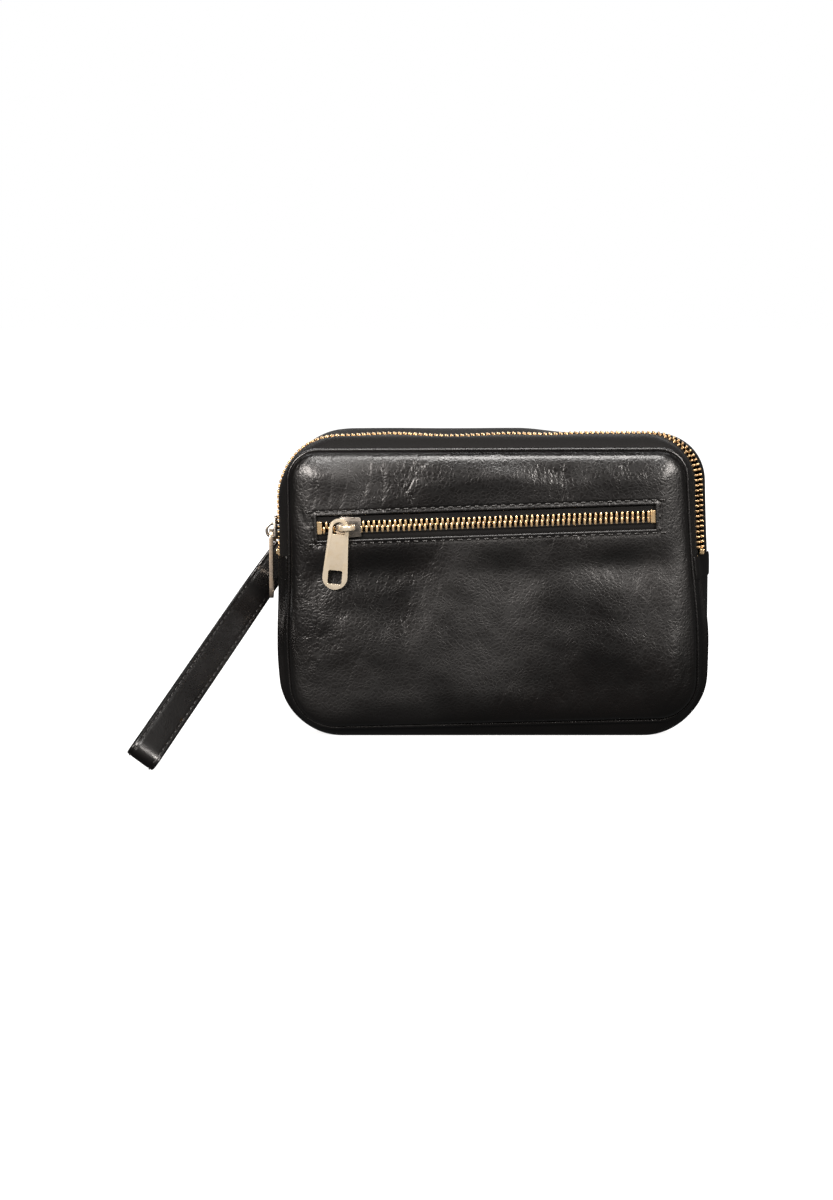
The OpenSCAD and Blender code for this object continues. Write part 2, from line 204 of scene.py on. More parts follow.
@dataclass(frozen=True)
class Finish:
    """A finish that varies between two colours."""

    name: str
    first: tuple
    second: tuple

    def wire(self, g: Graph) -> tuple:
        """Wires the finish's own nodes.

        Args:
            g: The material's graph.

        Returns:
            The factor between the two colours, and the shader's other inputs.
        """
        raise NotImplementedError

    def build(self) -> Material:
        """The finish as a material around one Principled shader."""
        material = new_material(self.name, max(self.first, self.second))
        g = Graph(material.node_tree)
        tone, inputs = self.wire(g)
        colour = g.colours(tone, self.first, self.second)
        g.end("ShaderNodeOutputMaterial", g.node("ShaderNodeBsdfPrincipled", None, {"Base Color": colour, **inputs}))
        return material


@dataclass(frozen=True)
class Leather(Finish):
    """Black leather with a fine pebble grain, handling creases and lighter worn patches.

    The grain is in millimetres; the sheen of the finish lies between the two roughness values.
    """

    first: tuple = (0.0009, 0.0008, 0.0008)
    second: tuple = (0.0036, 0.0029, 0.0027)
    grain_mm: float = 2.0
    smooth: float = 0.25
    rough: float = 0.44
    grain_depth_mm: float = 0.065
    crease_depth_mm: float = 0.40
    crinkle_mm: float = 0.30
    pore_share: float = 0.12

    def wire(self, g: Graph) -> tuple:
        """Wires pebbles, pores, creases, crinkle and polish."""
        plain = g.place()
        warp = g.noise(plain, 90.0, 2.0)
        bent = g.node("ShaderNodeVectorMath", {"operation": "MULTIPLY_ADD"},
                      {0: warp.other("Color"), 1: (0.006, 0.006, 0.006), 2: plain})
        cells = g.node("ShaderNodeTexVoronoi", {"feature": "DISTANCE_TO_EDGE"},
                       {"Vector": bent, "Scale": 1.0 / (self.grain_mm * MM), "Randomness": 1.0})
        pebble = g.spread(cells, 0.0, 0.30)
        pores = g.noise(plain, 1100.0, 3.0, 0.65)
        folds = g.node("ShaderNodeTexNoise", {"noise_type": "RIDGED_MULTIFRACTAL"},
                       {"Vector": g.place((1.0, 1.0, 0.38), (0.0, 0.75, 0.0)), "Scale": 85.0, "Detail": 4.0,
                        "Roughness": 0.55, "Lacunarity": 2.1, "Offset": 0.9, "Gain": 1.4, "Distortion": 0.5})
        wear = g.spread(g.noise(plain, 22.0, 3.0), 0.42, 0.68)
        crease = g.spread(folds, 0.6, 1.7) * (0.15 + 0.85 * wear)
        mottle = g.noise(plain, 120.0, 3.0, 0.55)
        tone = g.spread(mottle, 0.35, 0.75) * 0.12 + pebble * 0.30 + wear * 0.40
        grain = pebble * (1.0 - self.pore_share) + pores * self.pore_share
        relief = g.bump(crease * -1.0, self.crease_depth_mm, 0.7)
        crinkle = g.noise(g.place((1.0, 1.0, 0.6), (0.0, -0.6, 0.0)), 260.0, 3.0, 0.62, 0.6)
        relief = g.bump(crinkle * (0.25 + 0.75 * wear), self.crinkle_mm, 0.85, relief)
        relief = g.bump(grain, self.grain_depth_mm, 0.9, relief)
        polish = g.spread(g.noise(plain, 16.0, 2.0, 0.45), 0.36, 0.62) * 0.85 + g.spread(mottle, 0.3, 0.7) * 0.15
        rough = self.rough + (self.smooth - self.rough) * polish + (1.0 - pebble) * 0.05
        return tone, {"Roughness": rough, "Specular IOR Level": 0.5, "Coat Weight": 0.10, "Coat Roughness": 0.25,
                      "Normal": relief}


@dataclass(frozen=True)
class Woven(Finish):
    """Cloth or tape woven from yarns that follow the piece's own UV map, in millimetres."""

    yarn_mm: float = 0.55
    relief_mm: float = 0.12
    sheen: float = 0.35

    def wire(self, g: Graph) -> tuple:
        """Wires the ribs, the rows and the fuzz."""
        turns = math.pi / self.yarn_mm
        place = g.fibres("Fibre", (turns, turns, turns))
        along = g.node("ShaderNodeSeparateXYZ", None, {0: place}, "X")
        ribs = g.node("ShaderNodeMath", {"operation": "SINE"}, {0: along + along.other("Y")})
        rows = g.node("ShaderNodeMath", {"operation": "SINE"}, {0: along * 2.0})
        weave = (ribs * 0.6 + rows * 0.4) * 0.5 + 0.5
        fuzz = g.noise(g.place(), 1500.0, 3.0, 0.7)
        tone = weave * 0.6 + fuzz * 0.4
        return tone, {"Roughness": 0.62 + fuzz * 0.25, "Sheen Weight": self.sheen, "Sheen Roughness": 0.45,
                      "Specular IOR Level": 0.15, "Normal": g.bump(tone, self.relief_mm, 0.9)}


@dataclass(frozen=True)
class Metal(Finish):
    """Plated metal with fine polishing lines and dull patches."""

    smooth: float = 0.16
    rough: float = 0.34
    brushed: tuple = (60.0, 60.0, 900.0)
    relief_mm: float = 0.012
    metallic: float = 1.0

    def wire(self, g: Graph) -> tuple:
        """Wires the lines and the haze."""
        lines = g.noise(g.place(self.brushed), 3.0, 2.0, 0.6)
        haze = g.noise(g.place(), 260.0, 3.0, 0.6)
        return g.spread(haze, 0.4, 0.72), {
            "Metallic": self.metallic,
            "Roughness": g.spread(haze * 0.7 + lines * 0.3, 0.35, 0.65, self.smooth, self.rough),
            "Normal": g.bump(lines * 0.5 + haze * 0.5, self.relief_mm, 0.7)}


@dataclass(frozen=True)
class Thread(Finish):
    """Waxed thread with a twist across its length."""

    first: tuple = (0.001, 0.001, 0.001)
    second: tuple = (0.008, 0.007, 0.006)

    def wire(self, g: Graph) -> tuple:
        """Wires the twist and the fibres."""
        twist = g.node("ShaderNodeTexWave", {"bands_direction": "DIAGONAL"},
                       {"Vector": g.place(), "Scale": 560.0, "Distortion": 1.5, "Detail": 1.0})
        tone = twist * 0.7 + g.noise(g.place(), 1800.0) * 0.3
        return tone, {"Roughness": 0.42 - tone * 0.12, "Normal": g.bump(twist, 0.05, 0.8)}


def smooth_all(mesh: bpy.types.Mesh) -> None:
    """Shades every face smooth."""
    mesh.polygons.foreach_set("use_smooth", np.ones(len(mesh.polygons), bool))


def one_finish(mesh: bpy.types.Mesh, finish: Material) -> None:
    """Gives every face the same finish and smooth shading."""
    mesh.materials.clear()
    mesh.materials.append(finish)
    mesh.polygons.foreach_set("material_index", np.zeros(len(mesh.polygons), np.int32))
    smooth_all(mesh)


def object_of(name: str, mesh: bpy.types.Mesh) -> Object:
    """A new object in the scene for a mesh that is already in place."""
    made = bpy.data.objects.new(name, mesh)
    bpy.context.scene.collection.objects.link(made)
    return made


def make_piece(name: str, points: Array, faces: Sequence[Sequence[int]],
               fibre: Optional[Array] = None) -> Object:
    """A mesh object from points in millimetres.

    Args:
        name: The piece's name.
        points: Rows of x, y, z in millimetres.
        faces: Corner numbers of each face.
        fibre: Lengths in millimetres at each point, kept as the UV map "Fibre".

    Returns:
        The object, at the origin.
    """
    mesh = bpy.data.meshes.new(name)
    mesh.from_pydata((np.asarray(points, float) * MM).tolist(), [], [tuple(map(int, f)) for f in faces])
    mesh.update()
    if fibre is not None:
        layer = mesh.uv_layers.new(name="Fibre")
        corners = np.empty(len(mesh.loops), np.int64)
        mesh.loops.foreach_get("vertex_index", corners)
        layer.data.foreach_set("uv", np.asarray(fibre, float)[corners].ravel())
    smooth_all(mesh)
    return object_of(name, mesh)


def grid_faces(rows: int, columns: int, rows_closed: bool = False, columns_closed: bool = False,
               flip: bool = False) -> list[tuple]:
    """Quads of a grid of points that are numbered row by row."""
    faces = []
    for i in range(rows if rows_closed else rows - 1):
        for j in range(columns if columns_closed else columns - 1):
            quad = (i * columns + j, i * columns + (j + 1) % columns,
                    (i + 1) % rows * columns + (j + 1) % columns, (i + 1) % rows * columns + j)
            faces.append(quad[::-1] if flip else quad)
    return faces


def grid_lengths(grid: Array) -> Array:
    """Lengths along the columns and across the rows at each point of a grid."""
    along = np.linalg.norm(np.diff(grid, axis=1), axis=2)
    along = np.concatenate([np.zeros((grid.shape[0], 1)), np.cumsum(along, axis=1)], axis=1)
    middle = along[grid.shape[0] // 2]
    across = np.linalg.norm(np.diff(grid, axis=0), axis=2).mean(axis=1)
    across = np.concatenate([[0.0], np.cumsum(across)])
    return np.stack([np.broadcast_to(middle, grid.shape[:2]),
                     np.broadcast_to(across[:, None], grid.shape[:2])], axis=2).reshape(-1, 2)


def loft(name: str, grid: Array, flip: bool = False, rolled: bool = False) -> Object:
    """A sheet through a grid of points in millimetres, open or rolled into a closed ring."""
    faces = grid_faces(*grid.shape[:2], rolled, rolled, flip)
    return make_piece(name, grid.reshape(-1, 3), faces, grid_lengths(grid))


def thicken(piece: Object, thickness_mm: float) -> Object:
    """Gives a sheet its thickness, to the inside."""
    solid = piece.modifiers.new("Thickness", "SOLIDIFY")
    solid.thickness = thickness_mm * MM
    solid.offset = -1.0
    solid.use_even_offset = True
    return piece


def round_edges(piece: Object, width_mm: float, segments: int = 2) -> Object:
    """Rounds a piece's sharp edges."""
    bevel = piece.modifiers.new("Edges", "BEVEL")
    bevel.width = width_mm * MM
    bevel.segments = segments
    bevel.limit_method = "ANGLE"
    bevel.angle_limit = math.radians(SHARP_DEGREES)
    return piece


def flatten(piece: Object) -> Object:
    """Replaces a piece by its result after its modifiers, so that none is left."""
    depsgraph = bpy.context.evaluated_depsgraph_get()
    mesh = bpy.data.meshes.new_from_object(piece.evaluated_get(depsgraph), depsgraph=depsgraph)
    piece.modifiers.clear()
    piece.data = mesh
    return piece


@contextmanager
def editing(mesh: bpy.types.Mesh, *sources: bpy.types.Mesh) -> Iterator[bmesh.types.BMesh]:
    """Opens the sources for editing, and writes the result into the mesh."""
    work = bmesh.new()
    for source in sources:
        work.from_mesh(source)
    yield work
    work.to_mesh(mesh)
    work.free()


def faces_outward(piece: Object) -> None:
    """Turns a closed piece's faces outward."""
    with editing(piece.data, piece.data) as work:
        bmesh.ops.recalc_face_normals(work, faces=work.faces)


def merge_points(piece: Object) -> None:
    """Merges the points of a sheet that lie on each other."""
    with editing(piece.data, piece.data) as work:
        bmesh.ops.remove_doubles(work, verts=work.verts, dist=MERGE_MM * MM)


def finish_piece(piece: Object, finish: Material, slot: Slot, body: Body,
                 *nodes: str) -> Object:
    """Gives a piece its material and its body, and hides the CAD nodes it stands for."""
    if not piece.data.materials:
        piece.data.materials.append(finish)
    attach(piece, body.value)
    if nodes:
        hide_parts(*nodes)
    LOG.info("%s rides on %s and stands for %s", piece.name, body.value, ", ".join(nodes) or "no node")
    return piece


def smoothstep(value: Array, low: float, high: float) -> Array:
    """0 below low, 1 above high, smooth between."""
    t = np.clip((value - low) / (high - low), 0.0, 1.0)
    return t * t * (3.0 - 2.0 * t)


def softly(points: Array, wavelength_mm: float, seed: float) -> Array:
    """Smooth noise of about -1 to 1 at points in millimetres."""
    return np.array([noise.noise(Vector(p) / wavelength_mm + Vector((seed, seed * 0.7, -seed)))
                     for p in points.reshape(-1, 3).tolist()]).reshape(points.shape[:-1])


@dataclass(frozen=True)
class Outline:
    """Outline of the bag seen from the front, which narrows from mid depth to the panel seams.

    Corners go clockwise from the top left, as x and z in millimetres.
    """

    mid: tuple = ((-108.5, 153.0), (102.5, 153.0), (108.0, 0.0), (-106.5, 0.0))
    edge: tuple = ((-102.6, 145.5), (94.0, 146.0), (102.5, 10.5), (-100.8, 5.5))
    mid_radius: tuple = (33.0, 25.0, 31.0, 30.0)
    edge_radius: tuple = (14.0, 13.0, 19.0, 21.0)
    zip_end: float = 92.0

    def corners(self, inward: float) -> Array:
        """Sharp corners, from mid depth at 0 to the panel edge at 1."""
        return (1.0 - inward) * np.array(self.mid) + inward * np.array(self.edge)

    def arc(self, inward: float, corner: int, steps: int) -> Array:
        """Points of one rounded corner, clockwise."""
        corners = self.corners(inward)
        radius = (1.0 - inward) * self.mid_radius[corner] + inward * self.edge_radius[corner]
        here = corners[corner]
        back = corners[corner - 1] - here
        on = corners[(corner + 1) % 4] - here
        back, on = back / np.linalg.norm(back), on / np.linalg.norm(on)
        half = math.acos(float(np.clip(back @ on, -1, 1))) / 2.0
        middle = (back + on) / np.linalg.norm(back + on)
        centre = here + middle * radius / math.sin(half)
        start = here + back * radius / math.tan(half) - centre
        angles = -np.linspace(0.0, math.pi - 2.0 * half, steps)
        turned = np.stack([start[0] * np.cos(angles) - start[1] * np.sin(angles),
                           start[0] * np.sin(angles) + start[1] * np.cos(angles)], axis=1)
        return centre + turned

    def side_point(self, inward: float, low: int, high: int, height: float) -> Array:
        """Point of a side at a height."""
        corners = self.corners(inward)
        t = (height - corners[low][1]) / (corners[high][1] - corners[low][1])
        return corners[low] + (corners[high] - corners[low]) * t

    def half(self, inward: float, steps: int, first: tuple, corner: int, last: tuple) -> Array:
        """The line from one zip end to the other, round a corner and the next one."""
        parts = [self.side_point(inward, *first, self.zip_end)[None], self.arc(inward, corner, 24),
                 self.arc(inward, corner + 1, 24), self.side_point(inward, *last, self.zip_end)[None]]
        return even(np.concatenate(parts), steps)

    def upper(self, inward: float, steps: int = 220) -> Array:
        """The line from the left zip end over the top to the right zip end."""
        return self.half(inward, steps, (3, 0), 0, (2, 1))

    def lower(self, inward: float, steps: int = 240) -> Array:
        """The line from the right zip end round the base to the left zip end."""
        return self.half(inward, steps, (2, 1), 2, (3, 0))

    def whole(self, inward: float, upper: int = 220, lower: int = 240) -> Array:
        """The closed outline, clockwise from the left zip end."""
        return np.concatenate([self.upper(inward, upper)[:-1], self.lower(inward, lower)[:-1]])

    def inside(self, points: Array, inward: float = 1.0) -> Array:
        """Distance of points in x and z from the outline, positive inside it."""
        ring = self.whole(inward, 120, 130)
        a, b = ring, np.roll(ring, -1, axis=0)
        ab = b - a
        flat = points.reshape(-1, 2)
        t = np.clip(((flat[:, None] - a) * ab).sum(2) / (ab * ab).sum(1), 0.0, 1.0)
        gap = np.linalg.norm(flat[:, None] - (a + ab * t[..., None]), axis=2).min(axis=1)
        return gap.reshape(points.shape[:-1])


def even(line: Array, steps: int) -> Array:
    """The same line with its points at even lengths."""
    run = np.concatenate([[0.0], np.cumsum(np.linalg.norm(np.diff(line, axis=0), axis=1))])
    at = np.linspace(0.0, run[-1], steps)
    return np.stack([np.interp(at, run, line[:, k]) for k in range(line.shape[1])], axis=1)


def settle(points: Array) -> Array:
    """How the filled bag stands: its sides bow out low down, and its back leans to the right.

    Args:
        points: x, y, z in millimetres, in any shape.

    Returns:
        The points after settling.
    """
    moved = np.array(points, float)
    x, y, z = points[..., 0], points[..., 1], points[..., 2]
    right = smoothstep(x, 20.0, 98.0)
    left = smoothstep(-x, 60.0, 104.0)
    behind = np.clip(y / 14.0, 0.0, 1.0)
    high = smoothstep(z, 50.0, 98.0)
    moved[..., 0] += right * 1.8 * np.exp(-((z - 55.0) / 30.0) ** 2)
    moved[..., 0] += right * high * (8.0 * smoothstep(y, -6.0, 8.0) - 3.9 * smoothstep(y, -14.0, -5.0))
    moved[..., 0] += right * (1.0 - high) * 3.0 * behind * smoothstep(z, -10.0, 40.0)
    moved[..., 0] -= left * 1.9 * np.exp(-((z - 48.0) / 26.0) ** 2)
    top = smoothstep(z, 122.0, 147.0)
    slack = smoothstep(x, -100.0, -70.0) * smoothstep(-x, -48.0, -12.0)
    ripple = np.sin((x + 96.0) / 9.5)
    chain = np.exp(-(y / 6.0) ** 2)
    moved[..., 2] += top * slack * (3.9 * smoothstep(behind, 0.1, 0.75) - chain * (0.9 + 0.5 * ripple))
    moved[..., 1] -= top * slack * chain * (1.6 + 1.2 * ripple)
    return moved


def rail(line: Array, y: Union[float, Array]) -> Array:
    """A line in x and z at a depth y, after the bag has settled."""
    return settle(np.stack([line[:, 0], np.broadcast_to(y, line.shape[:1]), line[:, 1]], axis=1))


def outward(line: Array) -> Array:
    """Unit directions out of a clockwise line in x and z."""
    step = np.gradient(line, axis=0)
    step /= np.linalg.norm(step, axis=1)[:, None]
    return np.stack([-step[:, 1], step[:, 0]], axis=1)


class Repeater:
    """A Geometry Nodes tree that sets one small form along a path at a given pitch."""

    INPUTS = (("Path", "NodeSocketGeometry"), ("Form", "NodeSocketObject"), ("Pitch", "NodeSocketFloat"),
              ("Unevenness", "NodeSocketFloat"), ("Seed", "NodeSocketInt"), ("Finish", "NodeSocketMaterial"))

    def __init__(self) -> None:
        """Builds the tree."""
        self.tree = bpy.data.node_groups.new("repeat_along_path", "GeometryNodeTree")
        self.keys = {}
        for name, kind in self.INPUTS:
            self.keys[name] = self.tree.interface.new_socket(name, in_out="INPUT", socket_type=kind).identifier
        self.tree.interface.new_socket("Repeated", in_out="OUTPUT", socket_type="NodeSocketGeometry")
        g = Graph(self.tree)
        given = g.node("NodeGroupInput", None, None, "Path")
        curve = g.node("GeometryNodeMeshToCurve", None, {"Mesh": given})
        marks = g.node("GeometryNodeResampleCurve", {"mode": "LENGTH"},
                       {"Curve": curve, "Length": given.other("Pitch")})
        out = g.node("GeometryNodeInputNamedAttribute", {"data_type": "FLOAT_VECTOR"}, {"Name": "out"})
        along = g.node("FunctionNodeAlignRotationToVector", {"axis": "X"},
                       {"Vector": g.node("GeometryNodeInputTangent")})
        facing = g.node("FunctionNodeAlignRotationToVector", {"axis": "Z", "pivot_axis": "X"},
                        {"Rotation": along, "Vector": out})
        form = g.node("GeometryNodeObjectInfo", {"transform_space": "ORIGINAL"},
                      {"Object": given.other("Form")}, "Geometry")
        spread = given.other("Unevenness")
        size = g.node("FunctionNodeRandomValue", {"data_type": "FLOAT"},
                      {2: 1.0 - spread, 3: 1.0 + spread, "Seed": given.other("Seed")}, 1)
        placed = g.node("GeometryNodeInstanceOnPoints", None,
                        {"Points": marks, "Instance": form, "Rotation": facing, "Scale": size})
        real = g.node("GeometryNodeRealizeInstances", None, {"Geometry": placed})
        dressed = g.node("GeometryNodeSetMaterial", None, {"Geometry": real, "Material": given.other("Finish")})
        g.end("NodeGroupOutput", dressed)

    def run(self, name: str, path: Array, out: Array, form: Object, pitch_mm: float,
            finish: Material, unevenness: float, seed: int) -> Object:
        """Sets a form along a path.

        Args:
            name: The new piece's name.
            path: Points of the path in millimetres.
            out: The direction that the form's Z axis takes at each point.
            form: The form, with its length along X and its face to Z.
            pitch_mm: Distance between neighbours.
            finish: Material of the result.
            unevenness: How much the sizes differ.
            seed: Fixed seed of the differences.

        Returns:
            The plain mesh object.
        """
        mesh = bpy.data.meshes.new(name)
        mesh.from_pydata((path * MM).tolist(), [(k, k + 1) for k in range(len(path) - 1)], [])
        mesh.attributes.new("out", "FLOAT_VECTOR", "POINT").data.foreach_set("vector", out.astype(np.float32).ravel())
        piece = object_of(name, mesh)
        modifier = piece.modifiers.new("Repeat", "NODES")
        modifier.node_group = self.tree
        for key, value in (("Form", form), ("Pitch", pitch_mm * MM), ("Unevenness", unevenness), ("Seed", seed),
                           ("Finish", finish)):
            modifier[self.keys[key]] = value
        flatten(piece)
        one_finish(piece.data, finish)
        LOG.info("%s: %d faces", name, len(piece.data.polygons))
        return piece


def small_form(name: str, size_mm: tuple, rounding_mm: float, arch: float = 0.0) -> Object:
    """A little rounded bar for a tooth or a stitch, not shown itself.

    Args:
        name: The form's name.
        size_mm: Its length, width and thickness.
        rounding_mm: Radius of its edges.
        arch: How much its ends bend down, in millimetres.

    Returns:
        The form, outside the scene.
    """
    mesh = bpy.data.meshes.new(name)
    with editing(mesh) as work:
        bmesh.ops.create_cube(work, size=1.0)
        bmesh.ops.scale(work, vec=Vector(size_mm) * MM, verts=work.verts)
        bmesh.ops.bevel(work, geom=list(work.edges), offset=rounding_mm * MM, segments=2, profile=0.5, affect="EDGES")
        for vert in work.verts:
            vert.co.z -= arch * MM * (2.0 * vert.co.x / (size_mm[0] * MM)) ** 2
    return bpy.data.objects.new(name, mesh)


def copy_of(node: str, name: str) -> Object:
    """A merged copy of a CAD node's mesh, in place, with its flat faces joined."""
    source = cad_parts[node]
    mesh = bpy.data.meshes.new(name)
    with editing(mesh, source.data) as work:
        bmesh.ops.transform(work, matrix=source.matrix_world, verts=work.verts)
        bmesh.ops.remove_doubles(work, verts=work.verts, dist=1e-6)
        bmesh.ops.dissolve_limit(work, angle_limit=math.radians(1.0), verts=work.verts, edges=work.edges)
    return object_of(name, mesh)


def joined(name: str, rows: Sequence[Object], finish: Material) -> Object:
    """Several plain pieces as one, in one finish."""
    mesh = bpy.data.meshes.new(name)
    with editing(mesh, *(row.data for row in rows)):
        pass
    for row in rows:
        bpy.data.objects.remove(row)
    one_finish(mesh, finish)
    return object_of(name, mesh)


@dataclass(frozen=True)
class Finishes:
    """Every finish of the bag, built once."""

    leather: Material
    wall_leather: Material
    strap_leather: Material
    tape: Material
    cloth: Material
    brass: Material
    aged_brass: Material
    nickel: Material
    gold: Material
    aged_gold: Material
    thread: Material

    @classmethod
    def build(cls) -> "Finishes":
        """Builds the finishes.

        Returns:
            The set of materials.
        """
        return cls(
            leather=Leather("black_leather").build(),
            wall_leather=Leather("wall_leather", grain_mm=1.4, smooth=0.24, rough=0.36, grain_depth_mm=0.04,
                                 crease_depth_mm=0.2, crinkle_mm=0.12).build(),
            strap_leather=Leather("strap_leather", grain_mm=1.2, smooth=0.22, rough=0.30, grain_depth_mm=0.02,
                                  crease_depth_mm=0.1, crinkle_mm=0.12, pore_share=0.0).build(),
            tape=Woven("zip_tape", (0.0010, 0.0009, 0.0009), (0.0048, 0.0044, 0.0043), sheen=0.02).build(),
            cloth=Woven("lining_cloth", (0.012, 0.012, 0.014), (0.040, 0.040, 0.045), 0.4, 0.08).build(),
            brass=Metal("brass_teeth", (0.95, 0.70, 0.40), (0.66, 0.44, 0.22), 0.18, 0.34, metallic=0.85).build(),
            # A darker copy of the brass, used for the main zip's teeth, which look darker than the pocket's teeth.
            aged_brass=Metal("aged_brass_teeth", (0.52, 0.35, 0.18), (0.20, 0.13, 0.07), 0.24, 0.44,
                             metallic=0.9).build(),
            nickel=Metal("nickel", (0.52, 0.47, 0.41), (0.33, 0.29, 0.25), 0.20, 0.38).build(),
            gold=Metal("pale_gold", (0.92, 0.80, 0.62), (0.82, 0.69, 0.50), 0.16, 0.26, relief_mm=0.004,
                       metallic=0.72).build(),
            aged_gold=Metal("aged_gold", (0.50, 0.42, 0.34), (0.34, 0.27, 0.20), 0.20, 0.36, metallic=0.85).build(),
            thread=Thread("thread").build())


@dataclass(frozen=True)
class Window:
    """The pocket window cut in the front panel, and the flat frame it lies in. Millimetres."""

    middle: tuple = (-4.5, -20.9, 111.0)
    length: float = 168.0
    height: float = 12.4
    slope: float = 2.0

    def to_bag(self, u: Array, v: Array, w: Array) -> Array:
        """Places along, up and out of the window as x, y, z."""
        c, s = math.cos(math.radians(self.slope)), math.sin(math.radians(self.slope))
        u, v, w = np.broadcast_arrays(u, v, w)
        return np.stack([self.middle[0] + u * c - v * s, self.middle[1] - w, self.middle[2] + u * s + v * c], axis=-1)

    def apart(self, points: Array) -> Array:
        """Distance of points in x and z from the window's edge, negative inside it."""
        c, s = math.cos(math.radians(self.slope)), math.sin(math.radians(self.slope))
        x, z = points[..., 0] - self.middle[0], points[..., 1] - self.middle[2]
        du = np.abs(x * c + z * s) - self.length / 2
        dv = np.abs(z * c - x * s) - self.height / 2
        out = np.hypot(np.maximum(du, 0), np.maximum(dv, 0))
        return out + np.minimum(np.maximum(du, dv), 0)


@dataclass
class LeatherBody:
    """Panels, side wall, seams and end tabs of the bag. Millimetres."""

    outline: Outline
    window: Window
    finishes: Finishes
    seam_y: float = 14.0
    edge_rise: float = 3.6
    puff: float = 5.4
    puff_width: float = 18.0
    leather: float = 1.4
    wall: float = 1.3
    tab: float = 0.9
    lining: float = 0.5
    slack: float = 1.5
    stitch_groove: float = 0.28

    # Soft hollows of the front panel: x, z, reach across, reach up, depth
    HOLLOWS = ((-60.0, 92.0, 30.0, 12.0, 1.9), (-52.0, 48.0, 30.0, 19.0, -2.7), (62.0, 93.0, 32.0, 13.0, 2.2),
               (60.0, 52.0, 32.0, 19.0, -2.5), (4.0, 84.0, 14.0, 22.0, 1.5), (90.0, 30.0, 12.0, 14.0, -1.2),
               (4.0, 131.0, 16.0, 8.0, -1.3), (4.0, 145.0, 14.0, 6.0, 1.2), (62.0, 128.0, 20.0, 9.0, -1.2),
               (-80.0, 133.0, 13.0, 9.0, -1.1), (-40.0, 139.0, 12.0, 8.0, 1.1), (34.0, 139.0, 10.0, 8.0, 1.0),
               (-95.0, 70.0, 8.0, 30.0, 1.2), (0.0, 40.0, 14.0, 30.0, 0.9))

    # The line that the back panel closes along, as a hole without height
    MIDDLE = np.array([[-62.0, 76.0], [62.0, 76.0], [62.0, 76.0], [-62.0, 76.0]])

    def swell(self, inside: Array) -> Array:
        """How far a panel stands out from its seam, by the distance from the seam."""
        t = np.clip(inside / self.puff_width, 0.0, 1.0)
        return self.edge_rise * (1.0 - np.exp(-inside / 0.8)) + self.puff * (1.0 - (1.0 - t) ** 2.3)

    def front_y(self, points: Array) -> Array:
        """Depth of the front panel's face at points in x and z."""
        inside = self.outline.inside(points)
        rise = self.swell(inside)
        away = self.window.apart(points)
        free = smoothstep(away, 3.0, 20.0) * smoothstep(inside, 2.0, 16.0)
        flat = np.stack([points[..., 0], np.zeros(points.shape[:-1]), points[..., 1]], axis=-1)
        rise -= free * self.slack * (0.5 + 0.9 * softly(flat, 38.0, 3.1))
        rise -= free * (0.75 * softly(flat, 22.0, 8.2) + 0.22 * softly(flat, 8.0, 6.4))
        for x, z, across, up, depth in self.HOLLOWS:
            rise -= free * depth * np.exp(-((points[..., 0] - x) / across) ** 2 - ((points[..., 1] - z) / up) ** 2)
        limit = 9.2 + 2.2 * smoothstep(-points[..., 1], -67.0, -52.0)
        rise = limit - 0.3 * np.log1p(np.exp((limit - rise) / 0.3))
        rise += 0.22 * np.exp(-((away - 0.5) / 0.7) ** 2) - self.stitch_groove * np.exp(-((away - 2.1) / 0.6) ** 2)
        return -(self.seam_y + np.maximum(rise, 0.0))

    def ring_grid(self, hole: Array, rows: int, crowd: float) -> Array:
        """Points in x and z from the panel's outline to a hole.

        Args:
            hole: The hole's four corners, clockwise from the top left.
            rows: Number of rings.
            crowd: How much the rings crowd at both edges, from 0 to 1.

        Returns:
            The grid, with one row for each ring.
        """
        counts = (150, 44, 150, 44)
        ring = self.outline.whole(1.0, 600, 640)
        marks = [int(np.argmin(np.linalg.norm(ring - corner, axis=1))) for corner in self.outline.corners(1.0)]
        outer, inner = [], []
        for k, count in enumerate(counts):
            low, high = marks[k], marks[(k + 1) % 4]
            stretch = ring[low:high + 1] if high > low else np.concatenate([ring[low:], ring[:high + 1]])
            outer.append(even(stretch, count + 1)[:-1])
            inner.append(even(np.array([hole[k], hole[(k + 1) % 4]]), count + 1)[:-1])
        outer, inner = np.concatenate(outer), np.concatenate(inner)
        s = np.linspace(0.0, 1.0, rows)[:, None, None]
        t = (1.0 - crowd) * s + crowd * 0.5 * (1.0 - np.cos(np.pi * s))
        return outer * (1.0 - t) + inner * t

    def ring_sheet(self, name: str, flat: Array, y: Array, flip: bool = False,
                   drawn_in: float = 1.0) -> Object:
        """A settled sheet through the rings, at the depths y, drawn in towards its middle."""
        middle = flat.mean(axis=(0, 1))
        drawn = flat if drawn_in == 1.0 else middle + (flat - middle) * drawn_in
        grid = np.stack([drawn[..., 0], y, drawn[..., 1]], axis=-1)
        return make_piece(name, settle(grid).reshape(-1, 3),
                          grid_faces(*grid.shape[:2], columns_closed=True, flip=flip), flat.reshape(-1, 2))

    def front_panel(self) -> Object:
        """The puffed front panel with the raw-edged window."""
        w, u, v = self.window, self.window.length / 2, self.window.height / 2
        hole = w.to_bag(np.array([-u, u, u, -u]), np.array([v, v, -v, -v]), 0.0)[:, [0, 2]]
        flat = self.ring_grid(hole, 76, 0.55)
        piece = self.ring_sheet("front_leather_panel", flat, self.front_y(flat), flip=True)
        return finish_piece(thicken(piece, self.leather), self.finishes.leather, Slot.LEATHER, Body.BAG,
                            "front_panel")

